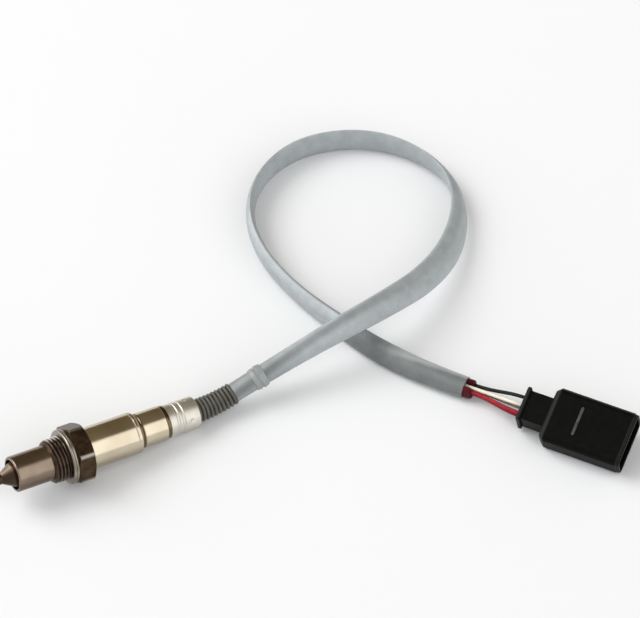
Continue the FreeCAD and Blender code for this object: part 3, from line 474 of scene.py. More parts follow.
# The gasket is a ring of folded sheet steel, loose in the relief groove and bearing on the
# hexagon. Screwing the probe in crushes it flat against the exhaust.
GASKET_FRONT, GASKET_INSIDE, GASKET_OUTSIDE = -2.3, 8.4, 11.2
FOLD_MIDDLE, FOLD_HALF, FOLD_DEPTH = -1.15, 0.1, 0.5
gasket_steel = surface("bright_gasket", tone(168, 160, 150), tone(134, 124, 112), 0.32, 1.0,
                       speckle=600, grain=0.2)
gasket = turned("folded_gasket", rounded([
    (GASKET_FRONT, GASKET_INSIDE, 0.5),
    (GASKET_FRONT, GASKET_OUTSIDE, 0.9),
    (FOLD_MIDDLE - FOLD_HALF, GASKET_OUTSIDE, 0.2),
    (FOLD_MIDDLE, GASKET_OUTSIDE - FOLD_DEPTH, 0.05),
    (FOLD_MIDDLE + FOLD_HALF, GASKET_OUTSIDE, 0.2),
    (0, GASKET_OUTSIDE, 0.6),
    (0, GASKET_INSIDE, 0.2),
]))
add_piece("folded_gasket", gasket, gasket_steel, "gasket_steel", "seat_gasket")

# The body is a drawn tube of bronze tinted steel pressed over the shell. It necks down in one
# step, where the drawing left a rolled bead, and its end is turned in over the crimped sleeve.
# The crease at the step, the groove at its end and the near underside are painted dark as shade.
BODY_STEP, BODY_REAR = 29.9, 43.3
BODY_RADIUS, NECK_RADIUS, BODY_WALL = 8.5, 7.15, 0.55
CREASE_RADIUS = NECK_RADIUS - 0.3
BEAD_SETBACK, BEAD_HALF, BEAD_DEPTH = 1.9, 0.3, 0.12


def drawn_steel(name, pale, dark, roughness):
    """Drawn tube: long faint streaks along the axis over a slow change of tint."""
    material = surface(name, pale, dark, roughness, 1.0, speckle=300, grain=0.08, relief=0.012)
    nodes, links = material.node_tree.nodes, material.node_tree.links
    lay = nodes.new("ShaderNodeUVMap")
    lay.uv_map = "lay"
    spread = nodes.new("ShaderNodeMapping")
    spread.inputs["Scale"].default_value = (3, 260, 1)
    streaks = nodes.new("ShaderNodeTexNoise")
    streaks.inputs["Scale"].default_value = 1.0
    streaks.inputs["Detail"].default_value = 3
    links.new(lay.outputs["UV"], spread.inputs["Vector"])
    links.new(spread.outputs["Vector"], streaks.inputs["Vector"])
    links.new(streaks.outputs["Fac"], nodes["Bump"].inputs["Height"])
    return material


def body_painted_shade(along, across, up):
    """Painted shade in the crease and the end groove, and a little of it along the underside."""
    radius = math.hypot(across, up)
    in_crease = BODY_STEP - 0.3 < along < BODY_STEP + 1.6 and radius < BODY_RADIUS - 0.3
    if in_crease or along > BODY_REAR - 1.7:
        return 1.0
    return 0.3 * clamped(0.4 - 1.6 * up / radius) if across < 0 else 0.0


body_steel = drawn_steel("bronzed_steel", tone(204, 194, 172), tone(191, 179, 156), 0.19)
body = turned("drawn_body", rounded([
    (HEX_HEIGHT, BODY_RADIUS - BODY_WALL, 0),
    (HEX_HEIGHT, BODY_RADIUS, 0.2),
    (BODY_STEP - BEAD_SETBACK - BEAD_HALF, BODY_RADIUS, 0.3),
    (BODY_STEP - BEAD_SETBACK, BODY_RADIUS - BEAD_DEPTH, 0.15),
    (BODY_STEP - BEAD_SETBACK + BEAD_HALF, BODY_RADIUS, 0.2),
    (BODY_STEP - 0.2, BODY_RADIUS, 0.7),
    (BODY_STEP, CREASE_RADIUS, 0.2),
    (BODY_STEP + 0.9, CREASE_RADIUS, 0.2),
    (BODY_STEP + 1.3, NECK_RADIUS, 0.2),
    (BODY_STEP + 1.9, NECK_RADIUS, 0),
    (BODY_REAR - 1.9, NECK_RADIUS, 0.2),
    (BODY_REAR - 1.6, CREASE_RADIUS, 0.12),
    (BODY_REAR - 0.9, CREASE_RADIUS, 0.2),
    (BODY_REAR, CREASE_RADIUS, 0.3),
    (BODY_REAR, NECK_RADIUS - BODY_WALL, 0),
    (BODY_STEP - BODY_WALL, NECK_RADIUS - BODY_WALL, 0),
    (BODY_STEP - BODY_WALL, BODY_RADIUS - BODY_WALL, 0),
]))
mark_turned(body, body_painted_shade)
# The mark is painted shade, dark brown
marked(body_steel, tone(84, 66, 44), 0.9)
add_piece("drawn_body", body, body_steel, "body_steel", "body_sleeve")

# The crimped sleeve is bright stainless tube that closes the neck on the rubber grommet. Two
# grooves are rolled into it, and four punched dimples stake it behind them.
CRIMP_FRONT, CRIMP_REAR, CRIMP_RADIUS, CRIMP_WALL = 39.3, 56.5, 6.55, 0.5
CRIMP_LIP, LIP_RADIUS = 0.5, 5.0
GROOVES = (46.3, 48.6)
GROOVE_WIDTH, GROOVE_DEPTH = 1.0, 0.3
DIMPLE_ALONG, DIMPLE_RADIUS, DIMPLE_DEPTH, DIMPLE_REACH = 52.6, 0.9, 0.35, 1.5
CRIMP_RELIEF = 0.05


def crimp_radius(along, angle, radius):
    """Presses the four dimples into the outside."""
    if radius < CRIMP_RADIUS - 0.4 or abs(along - DIMPLE_ALONG) >= 2:
        return radius
    off = (angle - math.radians(20)) % (math.pi / 2) - math.pi / 4
    away = math.hypot(along - DIMPLE_ALONG, off * radius) / DIMPLE_RADIUS
    return radius - DIMPLE_DEPTH * math.exp(-2.2 * away ** 2)


crimp_outline = [(CRIMP_FRONT, CRIMP_RADIUS, 0)]
for groove in GROOVES:
    crimp_outline += [
        (groove - 0.2, CRIMP_RADIUS, 0.2),
        (groove + 0.15, CRIMP_RADIUS - GROOVE_DEPTH, 0.2),
        (groove + GROOVE_WIDTH - 0.15, CRIMP_RADIUS - GROOVE_DEPTH, 0.2),
        (groove + GROOVE_WIDTH + 0.2, CRIMP_RADIUS, 0.2),
    ]
crimp_outline += [(DIMPLE_ALONG - DIMPLE_REACH + 0.15 * step, CRIMP_RADIUS, 0)
                  for step in range(21)]
crimp_outline += [
    (CRIMP_REAR, CRIMP_RADIUS, 0.45),
    (CRIMP_REAR, LIP_RADIUS, 0.1),
    (CRIMP_REAR - CRIMP_LIP, LIP_RADIUS, 0),
    (CRIMP_REAR - CRIMP_LIP, CRIMP_RADIUS - CRIMP_WALL, 0),
    (CRIMP_FRONT, CRIMP_RADIUS - CRIMP_WALL, 0),
]
crimp_steel = drawn_steel("bright_stainless", tone(216, 212, 202), tone(192, 187, 175), 0.40)
crimp_steel.node_tree.nodes["Bump"].inputs["Distance"].default_value = CRIMP_RELIEF * MM
crimp = turned("crimped_sleeve", rounded(crimp_outline), sides=240, swell=crimp_radius)
add_piece("crimped_sleeve", crimp, crimp_steel, "crimp_steel", "crimp_sleeve")
dress(surface("grommet_rubber", tone(38, 38, 37), tone(28, 28, 27), 0.7), "rubber_grommet")

# The boot is moulded rubber with ten ribs that get smaller towards the cable. It comes out of
# the crimped sleeve, bends up as the cable's weight lets it, and grips the sleeve's end.
BOOT_LENGTH, BOOT_RIBS, BOOT_INSERT = 18.0, 10, 1.2
BOOT_RADIUS, BOOT_END_RADIUS, BOOT_VALLEY, BOOT_BORE = 4.9, 4.65, 4.05, 3.7
BOOT_SIDES, RIB_STEPS, RIB_ROUNDNESS = 64, 14, 0.8
CABLE_RISE = math.radians(15)
probe_tilt = math.asin(tip_way.z)
boot_turn = probe_tilt + CABLE_RISE
boot_bend = BOOT_LENGTH / boot_turn


def boot_place(along, angle, radius):
    """A point on the boot, along its bend in mm and round it."""
    swing = max(0.0, along) / boot_bend
    centre = Vector((CRIMP_REAR + boot_bend * math.sin(swing) + min(0.0, along), 0,
                     boot_bend * (1 - math.cos(swing))))
    up = Vector((-math.sin(swing), 0, math.cos(swing)))
    return centre + radius * (math.cos(angle) * Vector((0, 1, 0)) + math.sin(angle) * up)


boot_stations = [(-BOOT_INSERT, BOOT_VALLEY, 0.0)]
for step in range(BOOT_RIBS * RIB_STEPS + 1):
    along = BOOT_LENGTH * step / (BOOT_RIBS * RIB_STEPS)
    share = (along / (BOOT_LENGTH / BOOT_RIBS)) % 1
    crest = max(0.0, math.sin(math.pi * share)) ** RIB_ROUNDNESS
    widest = BOOT_RADIUS + (BOOT_END_RADIUS - BOOT_RADIUS) * along / BOOT_LENGTH
    boot_stations.append((along, BOOT_VALLEY + (widest - BOOT_VALLEY) * crest, crest))
boot_stations += [(BOOT_LENGTH, BOOT_VALLEY - 0.2, 0.0), (BOOT_LENGTH - 0.6, BOOT_BORE, 0.0),
                  (-BOOT_INSERT, BOOT_BORE, 0.0)]
boot_rings, boot_crests = [], []
for along, radius, crest in reversed(boot_stations):
    boot_rings.append([PROBE @ boot_place(along, 2 * math.pi * side / BOOT_SIDES, radius)
                       for side in range(BOOT_SIDES)])
    boot_crests += [crest] * BOOT_SIDES
boot = skinned("ribbed_boot", boot_rings)
mark_points(boot, "crest", boot_crests)
boot_rubber = surface("boot_rubber", tone(94, 92, 82), tone(76, 73, 64), 0.45, relief=0.03)
boot_tree = boot_rubber.node_tree
boot_crest = boot_tree.nodes.new("ShaderNodeAttribute")
boot_crest.attribute_name = "crest"
# The valleys between the ribs are painted dark as shade; the crests keep the rubber's colour
boot_colour_shaded_valleys = mixed(boot_tree, boot_crest.outputs["Fac"], tone(32, 30, 25),
                    boot_tree.nodes["Color Ramp"].outputs["Color"])
boot_tree.links.new(boot_colour_shaded_valleys, boot_tree.nodes["Principled BSDF"].inputs["Base Color"])
add_piece("ribbed_boot", boot, boot_rubber, "boot_rubber", "corrugated_boot")

# The cable sleeve is grey coated glass fibre tube over five wires. It is round at both ends and
# flattened to a band that stands on its edge round the loop. It lies where the CAD tube lies.
PLUG_LENGTH, PLUG_AXIS, PLUG_ROLL = 34.5, 6.25, math.radians(19.5)
boot_end = PROBE @ boot_place(BOOT_LENGTH, 0, 0)
cable_way = Vector((math.cos(CABLE_RISE), 0, math.sin(CABLE_RISE)))
mouth_mount = next(m for m in frame["record"]["mounts"] if m["name"] == "plug_mouth")
plug_way = Vector(mouth_mount["axis"]).normalized()
ground_side = Vector((-plug_way.y, plug_way.x, 0))
plug_side = math.cos(PLUG_ROLL) * ground_side + math.sin(PLUG_ROLL) * Vector((0, 0, 1))
plug_up = plug_way.cross(plug_side)
plug_rear = Vector(mouth_mount["pos_m"]) - MM * (PLUG_LENGTH * plug_way + PLUG_AXIS * plug_up)
# PLUG does so from the housing's rear, rolled as it lies, and GROUND from the table below it
PLUG = (Matrix.Translation(plug_rear)
        @ Matrix((plug_way, plug_side, plug_up)).transposed().to_4x4()
        @ Matrix.Scale(MM, 4))
GROUND = (Matrix.Translation((plug_rear.x, plug_rear.y, 0))
          @ Matrix((plug_way, ground_side, Vector((0, 0, 1)))).transposed().to_4x4()
          @ Matrix.Scale(MM, 4))
SLEEVE_END = Vector((-37.3, 1.2, 4.4))
FIRST_RUN, LAST_RUN = 22.0, 16.5
SLEEVE_SIDES, FOLD_SHARPNESS = 48, 0.9

# From the boot's end: x, y from that end and z above the table in metres, then the band's
# width and thickness in mm and its lean from standing on edge, in degrees
SLEEVE_ROUTE = [
    (0.0460, -0.0015, 0.0210, 10.0, 8.4, -50),
    (0.0700, 0.0010, 0.0210, 11.0, 7.6, -58),
    (0.0960, 0.0100, 0.0136, 11.8, 6.6, -55),
    (0.1180, 0.0250, 0.0080, 12.2, 5.4, -44),
    (0.1335, 0.0460, 0.0064, 12.4, 4.4, -28),
    (0.1350, 0.0660, 0.0066, 12.8, 4.0, -14),
    (0.1250, 0.0870, 0.0067, 13.0, 3.8, -5),
    (0.1070, 0.1005, 0.0067, 13.2, 3.8, -2),
    (0.0845, 0.1050, 0.0067, 13.2, 3.8, 0),
    (0.0635, 0.0970, 0.0067, 13.2, 3.8, 0),
    (0.0500, 0.0805, 0.0067, 13.0, 3.8, 0),
    (0.0450, 0.0580, 0.0066, 12.8, 4.0, 0),
    (0.0480, 0.0345, 0.0062, 12.0, 4.6, 0),
    (0.0550, 0.0125, 0.0055, 10.6, 6.0, -14),
    (0.0635, -0.0090, 0.0048, 9.9, 7.6, -40),
]


def smooth_line(name, points):
    """A smooth NURBS curve with these control points, from the first to the last."""
    line = bpy.data.curves.new(name, "CURVE")
    line.dimensions = "3D"
    line.resolution_u = 12
    spline = line.splines.new("NURBS")
    spline.points.add(len(points) - 1)
    for spot, point in zip(spline.points, points):
        spot.co = (*point, 1)
    spline.order_u = 3
    spline.use_endpoint_u = True
    return line


def sampled(name, points):
    """Points along the smooth line that has these control points."""
    line = smooth_line(name, points)
    holder = bpy.data.objects.new(name, line)
    read = bpy.data.meshes.new_from_object(holder)
    found = [vertex.co.copy() for vertex in read.vertices]
    bpy.data.objects.remove(holder)
    bpy.data.meshes.remove(read)
    return found


def flattened(name, line, forms):
    """A flattened tube along a line, with its width, thickness and lean at each point. Its map
    runs by the length in metres and by the share of the way round."""
    rings = []
    lengths = [0.0]
    for before, after in zip(line, line[1:]):
        lengths.append(lengths[-1] + (after - before).length)
    for index, (centre, (width, thick, lean)) in enumerate(zip(line, forms)):
        way = (line[min(index + 1, len(line) - 1)] - line[max(index - 1, 0)]).normalized()
        side = way.cross(Vector((0, 0, 1))).normalized()
        up = side.cross(way)
        turn = math.radians(lean)
        wide = math.cos(turn) * up + math.sin(turn) * side
        thin = way.cross(wide)
        fold = 1 + FOLD_SHARPNESS * (1 - thick / width)
        ring = []
        for step in range(SLEEVE_SIDES):
            angle = 2 * math.pi * step / SLEEVE_SIDES
            out, off = math.cos(angle), math.sin(angle)
            depth = math.copysign(abs(off) ** fold, off) * thick / 2
            ring.append(centre + MM * (out * width / 2 * wide + depth * thin))
        rings.append(ring)
    mesh = skinned(name, rings, closed=False)
    for corner in mesh.uv_layers["lay"].data:
        row = corner.uv[0] * len(rings)
        corner.uv[0] = lengths[min(int(round(row)), len(lengths) - 1)]
    return mesh


sleeve_points = [boot_end, boot_end + cable_way * (FIRST_RUN * MM)]
sleeve_points += [Vector((boot_end.x + x, boot_end.y + y, z)) for x, y, z, *_ in SLEEVE_ROUTE]
sleeve_points += [GROUND @ (SLEEVE_END - Vector((LAST_RUN, 0, 0))), GROUND @ SLEEVE_END]
sleeve_forms = [(8.0, 8.0, 0), (8.4, 8.2, -30)]
sleeve_forms += [(width, thick, lean) for *_, width, thick, lean in SLEEVE_ROUTE]
sleeve_forms += [(9.8, 8.0, -80), (9.6, 8.2, -90)]
sleeve_line = sampled("sleeve_line", sleeve_points)
sleeve_form = sampled("sleeve_form", sleeve_forms)

# Its weave: two sets of strands that wind round it either way, under a thin coat
BRAID_PER_METRE, BRAID_ROUND, BRAID_RELIEF = 700.0, 18.0, 0.09
sleeve_coat = surface("coated_fibre", tone(163, 169, 171), tone(152, 158, 160), 0.4,
                      speckle=900, grain=0.12)
sleeve_tree = sleeve_coat.node_tree
sleeve_lay = sleeve_tree.nodes.new("ShaderNodeUVMap")
sleeve_lay.uv_map = "lay"
sleeve_split = sleeve_tree.nodes.new("ShaderNodeSeparateXYZ")
sleeve_tree.links.new(sleeve_lay.outputs["UV"], sleeve_split.inputs[0])
sleeve_along, sleeve_round = sleeve_split.outputs["X"], sleeve_split.outputs["Y"]


def worked_out(operation, *terms):
    """One step of arithmetic in the sleeve's finish. A term is a socket or a plain number."""
    step = sleeve_tree.nodes.new("ShaderNodeMath")
    step.operation = operation
    for socket, term in zip(step.inputs, terms):
        if isinstance(term, bpy.types.NodeSocket):
            sleeve_tree.links.new(term, socket)
        else:
            socket.default_value = term
    return step.outputs[0]


strands = []
for lean_way in (1, -1):
    wound = worked_out("MULTIPLY", sleeve_along, 2 * math.pi * BRAID_PER_METRE * lean_way)
    wound = worked_out("MULTIPLY_ADD", sleeve_round, 2 * math.pi * BRAID_ROUND, wound)
    strands.append(worked_out("SINE", wound))
braid = worked_out("MAXIMUM", *strands)
sleeve_tree.links.new(braid, sleeve_tree.nodes["Bump"].inputs["Height"])
sleeve_tree.nodes["Bump"].inputs["Distance"].default_value = BRAID_RELIEF * MM


def painted_light_round(stops, blue=1.0):
    """Painted light and shade round the sleeve, from its top or far fold over its outer face."""
    return banded(sleeve_tree, sleeve_round,
                  [(place, shade, shade, shade * blue) for place, shade in stops])


# Painted light and shade round the sleeve: pale folds and lower face, a darker upper face, most of
# all near the boot, and a painted highlight on a fold where the band comes back under itself. A
# painted shadow where it passes below, then painted shade on all but the far side.
first_shades = painted_light_round([(0.0, 1.25), (0.06, 1.1), (0.12, 0.64), (0.17, 0.64), (0.25, 1.12),
                              (0.46, 1.08), (0.56, 1.0), (0.93, 1.0), (1.0, 1.25)])
most_shades = painted_light_round([(0.0, 1.25), (0.045, 1.1), (0.10, 0.80), (0.19, 0.82), (0.26, 1.04),
                             (0.46, 1.2), (0.56, 1.04), (0.93, 1.04), (1.0, 1.25)])
bent_shades = painted_light_round([(0.0, 0.62), (0.035, 0.7), (0.075, 1.35), (0.15, 1.2), (0.22, 1.0),
                             (0.42, 1.04), (0.47, 1.3), (0.56, 0.90), (0.93, 0.86), (1.0, 0.62)])
# Painted shadow where the sleeve passes under itself
crossing_painted_shadow = painted_light_round([(0.0, 0.56), (0.5, 0.3), (1.0, 0.56)], 0.97)
last_shades = painted_light_round([(0.0, 1.05), (0.16, 1.05), (0.225, 0.47), (0.40, 0.4), (0.47, 0.38),
                             (0.56, 0.5), (1.0, 1.05)], 0.97)
sleeve_painted_light = first_shades
for shades, begin, full in ((most_shades, 0.05, 0.085), (bent_shades, 0.265, 0.29),
                            (crossing_painted_shadow, 0.352, 0.358), (last_shades, 0.372, 0.384)):
    reached = eased(sleeve_tree, sleeve_along, begin, full)
    sleeve_painted_light = mixed(sleeve_tree, reached, sleeve_painted_light, shades)
# Between the strands of the weave the coat is thinner, and near the boot it is darker all round
sleeve_thin = eased(sleeve_tree, braid, 0.1, -0.6, most=0.25)
sleeve_darker_near_boot = eased(sleeve_tree, sleeve_along, 0.036, 0.016)
sleeve_colour = sleeve_tree.nodes["Color Ramp"].outputs["Color"]
for share, tint in ((1.0, sleeve_painted_light), (sleeve_thin, grey(0.6)),
                    (sleeve_darker_near_boot, (0.7, 0.7, 0.69, 1))):
    sleeve_colour = mixed(sleeve_tree, share, sleeve_colour, tint, "MULTIPLY")
sleeve_tree.links.new(sleeve_colour, sleeve_tree.nodes["Principled BSDF"].inputs["Base Color"])
sleeve = add_piece("fibre_sleeve", flattened("fibre_sleeve", sleeve_line, sleeve_form),
                   sleeve_coat, "sleeve_rubber", "cable_sleeve")

# The collar is a short grey moulding clipped round the sleeve near the boot, with a notch in
# it. It marks where a bracket on the car holds the cable.
COLLAR_FRONT, COLLAR_LENGTH, COLLAR_RADIUS, COLLAR_BORE = 9.0, 5.5, 4.95, 4.1
NOTCH_RADIUS, COLLAR_SIDES = 4.4, 96
collar_side = Vector((0, 1, 0))
collar_up = cable_way.cross(collar_side)
# COLLAR takes mm along the cable from the boot's end to their place
COLLAR = (Matrix.Translation(boot_end)
          @ Matrix((cable_way, collar_side, collar_up)).transposed().to_4x4()
          @ Matrix.Scale(MM, 4))
collar_outline = rounded([
    (COLLAR_FRONT, COLLAR_BORE, 0.1),
    (COLLAR_FRONT, 4.35, 0.15),
    (COLLAR_FRONT + 1.4, 4.7, 0.4),
    (COLLAR_FRONT + 2.0, 4.75, 0.2),
    (COLLAR_FRONT + 2.3, NOTCH_RADIUS, 0.12),
    (COLLAR_FRONT + 2.7, NOTCH_RADIUS, 0.12),
    (COLLAR_FRONT + 3.1, COLLAR_RADIUS, 0.3),
    (COLLAR_FRONT + 4.2, COLLAR_RADIUS - 0.1, 0.5),
    (COLLAR_FRONT + COLLAR_LENGTH, 4.6, 0.2),
    (COLLAR_FRONT + COLLAR_LENGTH, COLLAR_BORE, 0.1),
])
collar_rings = []
for along, radius in reversed(collar_outline):
    collar_angles = [2 * math.pi * side / COLLAR_SIDES for side in range(COLLAR_SIDES)]
    collar_rings.append([COLLAR @ Vector((along, radius * math.cos(angle),
                                          radius * math.sin(angle))) for angle in collar_angles])
collar_plastic = surface("collar_plastic", tone(146, 151, 151), tone(132, 137, 137), 0.4,
                         speckle=500)
collar = add_piece("clip_collar", skinned("clip_collar", collar_rings), collar_plastic,
                   "collar_plastic", "sleeve_collar")

# The five wires are thin silicone leads. They leave the sleeve's end round a dark red liner,
# spread out and go into their own ways in the plug's rear cap.
WIRE_RADIUS, WIRE_SPREAD, WIRE_GOAL = 0.75, 1.9, -5.0
PIN_PITCH, PIN_ROW_GAP = 3.5, 3.9
# Where a wire bends: mm along the plug, and how far over it has come towards its pin
WIRE_CORNERS = [(-30.0, 0), (-22.0, 0.5), (-14.5, 1)]
# Each one's colour, its place across and up in the sleeve, its pin's column and row, its shades
WIRES = [
    ("red_1", (-1, 0.5), (-1, 1), tone(160, 24, 42), tone(136, 16, 32)),
    ("white", (0, 0.55), (0, 1), tone(238, 233, 216), tone(222, 214, 196)),
    ("black", (1, 0.4), (1, 1), tone(14, 14, 15), tone(8, 8, 9)),
    ("red_2", (-0.55, -0.5), (-1, -1), tone(150, 22, 38), tone(120, 14, 28)),
    ("grey", (0.55, -0.5), (0, -1), tone(130, 132, 130), tone(112, 114, 112)),
]
for number, (colour, (out, up), (column, row), pale, dark) in enumerate(WIRES, 1):
    beside = SLEEVE_END + Vector((0, out * WIRE_SPREAD, up * WIRE_SPREAD))
    begin = PLUG.inverted() @ (GROUND @ beside)
    goal = Vector((WIRE_GOAL, column * PIN_PITCH, PLUG_AXIS + row * PIN_ROW_GAP / 2))
    points = [begin]
    points += [Vector((x, *(begin.yz + ease * (goal.yz - begin.yz)))) for x, ease in WIRE_CORNERS]
    points.append(goal)
    strand = smooth_line(f"wire_{colour}", [PLUG @ point for point in points])
    strand.bevel_depth = WIRE_RADIUS * MM
    strand.bevel_resolution = 6
    strand.use_fill_caps = True
    silicone = surface(f"silicone_{colour}", pale, dark, 0.4, speckle=1200, relief=0.01,
                       specular=0.2)
    strand.materials.append(silicone)
    wire = bpy.data.objects.new(f"wire_{colour}", strand)
    bpy.context.scene.collection.objects.link(wire)
    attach(wire, "root")
    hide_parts(f"plug_wire_{colour}")
    dress(silicone, f"lead_wire_{number}")

# The liner is dark red rubber hose slit along its length. Its two lips stick out of the sleeve's
# end on either side of the wires.
LINER_INSIDE, LINER_LENGTH, LINER_ROUND = 6.0, 3.4, 0.5
LINER_RADIUS, LINER_WALL, LINER_STEPS = 3.95, 1.7, 16
liner_rubber = surface("liner_rubber", tone(88, 10, 17), tone(62, 6, 11), 0.6, specular=0.2)
for lip_name, middle, half_angle in (("liner_lip_near", 200, 80), ("liner_lip_far", 20, 55)):
    lip_rings = []
    for along in (-LINER_INSIDE, LINER_LENGTH - LINER_ROUND, LINER_LENGTH - 0.1, LINER_LENGTH):
        shrink = max(0.0, along - LINER_LENGTH + LINER_ROUND) * 0.9
        outer, inner = LINER_RADIUS - shrink, LINER_RADIUS - LINER_WALL + shrink
        spread = math.radians(half_angle) - 0.12 * shrink
        arc = [math.radians(middle) - spread + 2 * spread * step / LINER_STEPS
               for step in range(LINER_STEPS + 1)]
        lip = [(outer, angle) for angle in arc] + [(inner, angle) for angle in reversed(arc)]
        lip_rings.append([GROUND @ (SLEEVE_END + Vector((along, reach * math.cos(angle),
                                                         reach * math.sin(angle))))
                          for reach, angle in lip])
    lips = add_piece(lip_name, skinned(lip_name, lip_rings, closed=False), liner_rubber,
                     "liner_rubber", "sleeve_liner", crease=50)

# The plug's rear cap is moulded nylon, pushed into the housing over the wire seal. Its flange
# is what a hand pulls on.
CAP_REAR, CAP_INSERT, CAP_WIDTH, CAP_HEIGHT = -11.1, 3.0, 12.6, 10.0
CAP_BORE_WIDTH, CAP_BORE_HEIGHT = 10.2, 7.6
FLANGE_THICK, FLANGE_WIDTH, FLANGE_HEIGHT, FLANGE_BEVEL = 1.6, 14.7, 12.0, 0.3
BEVELLED_WIDTH, BEVELLED_HEIGHT = FLANGE_WIDTH - 2 * FLANGE_BEVEL, FLANGE_HEIGHT - 2 * FLANGE_BEVEL
CORNER_STEPS, HIGHLIGHT_CORNER = 6, 2


def boxed(name, stations):
    """A mesh over rounded rectangles across the plug: (along, width, height, corner, wear and
    painted highlight). The big outer ones get a painted highlight along one long edge as well."""
    rings, wear_and_highlight_shares = [], []
    for along, width, height, corner, wear_and_painted_light in stations:
        ring = []
        for quarter in range(4):
            start = quarter * math.pi / 2
            middle_y = (width / 2 - corner) * (1 if quarter in (0, 3) else -1)
            middle_z = (height / 2 - corner) * (1 if quarter in (0, 1) else -1)
            for step in range(CORNER_STEPS + 1):
                angle = start + math.pi / 2 * step / CORNER_STEPS
                ring.append(PLUG @ Vector((along, middle_y + corner * math.cos(angle),
                                           PLUG_AXIS + middle_z + corner * math.sin(angle))))
                on_edge = corner > HIGHLIGHT_CORNER and quarter == 0 and 1 <= step <= 3
                wear_and_highlight_shares.append(1.0 if on_edge else wear_and_painted_light)
        rings.append(ring)
    mesh = skinned(name, rings)
    mark_points(mesh, "wear_and_painted_light", wear_and_highlight_shares)
    return mesh


nylon = surface("black_nylon", tone(12, 12, 9), tone(8, 8, 6), 0.42, speckle=1600, grain=0.12,
                relief=0.02, specular=0.05)
cap = boxed("plug_cap", [
    (CAP_REAR, 9.0, 6.4, 0.4, 0.1),
    (CAP_REAR, BEVELLED_WIDTH, BEVELLED_HEIGHT, 0.8, 0.7),
    (CAP_REAR + FLANGE_BEVEL, FLANGE_WIDTH, FLANGE_HEIGHT, 1.0, 1.0),
    (CAP_REAR + FLANGE_THICK - FLANGE_BEVEL, FLANGE_WIDTH, FLANGE_HEIGHT, 1.0, 0.5),
    (CAP_REAR + FLANGE_THICK, BEVELLED_WIDTH, BEVELLED_HEIGHT, 0.8, 0.2),
    (CAP_REAR + FLANGE_THICK, CAP_WIDTH, CAP_HEIGHT, 0.6, 0),
    (CAP_INSERT, CAP_WIDTH, CAP_HEIGHT, 0.6, 0),
    (CAP_INSERT, CAP_BORE_WIDTH, CAP_BORE_HEIGHT, 0.3, 0),
    (CAP_REAR + FLANGE_THICK, CAP_BORE_WIDTH, CAP_BORE_HEIGHT, 0.3, 0),
])
# The mark is pale grey: some wear, and painted highlights on the bevels and along one long edge
marked(nylon, tone(46, 46, 43), 1.0)
add_piece("plug_cap", cap, nylon, "plug_plastic", "plug_rear_cap", crease=30)

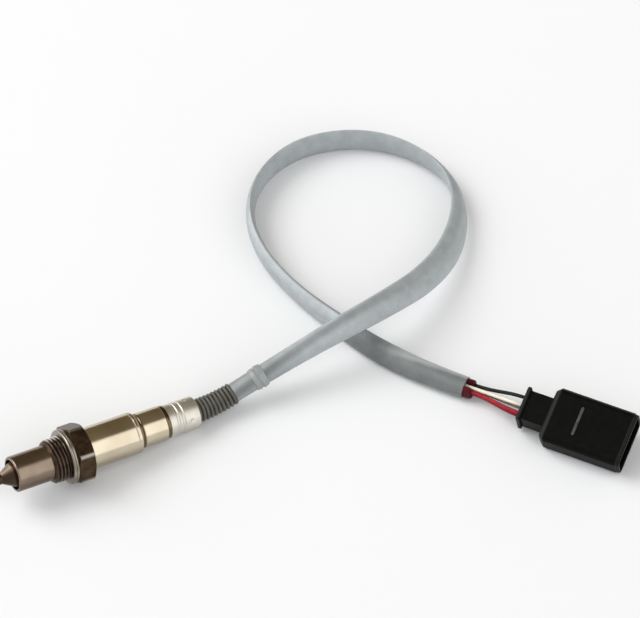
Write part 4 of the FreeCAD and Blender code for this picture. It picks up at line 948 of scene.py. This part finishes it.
# The housing is one black nylon moulding: a rounded box open at the mouth, with a bevelled
# strip round its rear edge and a fine lip round the mouth.
HOUSING_WIDTH, HOUSING_HEIGHT, HOUSING_ROUND = 23.6, 12.5, 3.0
INSIDE_WIDTH, INSIDE_HEIGHT, INSIDE_ROUND = 20.4, 9.3, 0.8
REAR_HOLE_WIDTH, REAR_HOLE_HEIGHT, LIP_STEP = 12.8, 10.1, 0.5
# The last column paints the rear edge, bevel and mouth lip paler: painted highlights with some
# wear
housing = boxed("plug_box", [
    (0, REAR_HOLE_WIDTH, REAR_HOLE_HEIGHT, 0.6, 0.3),
    (0, 20.2, 9.4, 1.6, 0.8),
    (1.7, HOUSING_WIDTH - 0.3, HOUSING_HEIGHT - 0.2, HOUSING_ROUND, 1.0),
    (2.0, HOUSING_WIDTH, HOUSING_HEIGHT, HOUSING_ROUND, 0.3),
    (2.5, HOUSING_WIDTH, HOUSING_HEIGHT, HOUSING_ROUND, 0),
    (PLUG_LENGTH - 1.7, HOUSING_WIDTH, HOUSING_HEIGHT, HOUSING_ROUND, 0),
    (PLUG_LENGTH - 1.5, HOUSING_WIDTH, HOUSING_HEIGHT, HOUSING_ROUND, 0.9),
    (PLUG_LENGTH - 1.35, HOUSING_WIDTH - LIP_STEP, HOUSING_HEIGHT - LIP_STEP, HOUSING_ROUND, 0.6),
    (PLUG_LENGTH - 0.2, HOUSING_WIDTH - LIP_STEP, HOUSING_HEIGHT - LIP_STEP, HOUSING_ROUND, 0.2),
    (PLUG_LENGTH, HOUSING_WIDTH - 0.9, HOUSING_HEIGHT - 0.9, HOUSING_ROUND, 0.8),
    (PLUG_LENGTH, INSIDE_WIDTH + 0.4, INSIDE_HEIGHT + 0.4, 0.9, 0.4),
    (PLUG_LENGTH - 0.3, INSIDE_WIDTH, INSIDE_HEIGHT, INSIDE_ROUND, 0),
    (CAP_INSERT, INSIDE_WIDTH, INSIDE_HEIGHT, INSIDE_ROUND, 0),
    (CAP_INSERT, REAR_HOLE_WIDTH, REAR_HOLE_HEIGHT, 0.6, 0),
])
add_piece("plug_box", housing, nylon, "plug_plastic", "plug_housing", crease=30)

# The slide that locks the terminals is a nylon bar pressed into a slot in the housing's top. Its
# crown stands a little proud and is painted grey as a painted highlight along the ridge.
LOCK_ALONG, LOCK_LENGTH, LOCK_THICK, LOCK_PROUD, LOCK_SIDES = 12.9, 12.6, 1.2, 0.35, 32
lock_rings = []
for height, inset in ((HOUSING_HEIGHT - 1.2, 0.0), (HOUSING_HEIGHT + 0.15, 0.0),
                      (HOUSING_HEIGHT + LOCK_PROUD - 0.07, 0.08),
                      (HOUSING_HEIGHT + LOCK_PROUD, 0.25)):
    lock_ring = []
    for side in range(LOCK_SIDES):
        angle = 2 * math.pi * side / LOCK_SIDES
        end_middle = math.copysign(LOCK_LENGTH / 2 - LOCK_THICK / 2, math.sin(angle))
        lock_ring.append(PLUG @ Vector((
            LOCK_ALONG + (LOCK_THICK / 2 - inset) * math.cos(angle),
            end_middle + (LOCK_THICK / 2 - inset) * math.sin(angle), height)))
    lock_rings.append(lock_ring)
lock_nylon = surface("lit_ridge_nylon", tone(60, 60, 56), tone(30, 30, 27), 0.5, speckle=2400)
add_piece("lock_slide", skinned("lock_slide", lock_rings, closed=False), lock_nylon,
          "plug_plastic", "terminal_lock", crease=50)

# Inside the plug are the nylon pin holder, the silicone wire seal, the small trimming resistor
# and six tinned pins.
dress(surface("holder_nylon", tone(30, 30, 27), tone(22, 22, 20), 0.55), "pin_holder")
dress(surface("seal_silicone", tone(150, 74, 48), tone(128, 58, 36), 0.6), "wire_seal")
dress(surface("resistor_body", tone(30, 30, 34), tone(22, 22, 26), 0.35), "calibration_resistor")
dress(surface("tinned_pin", tone(202, 200, 194), tone(182, 178, 170), 0.3, 1.0),
      *[f"plug_pin_{number}" for number in range(1, 7)])
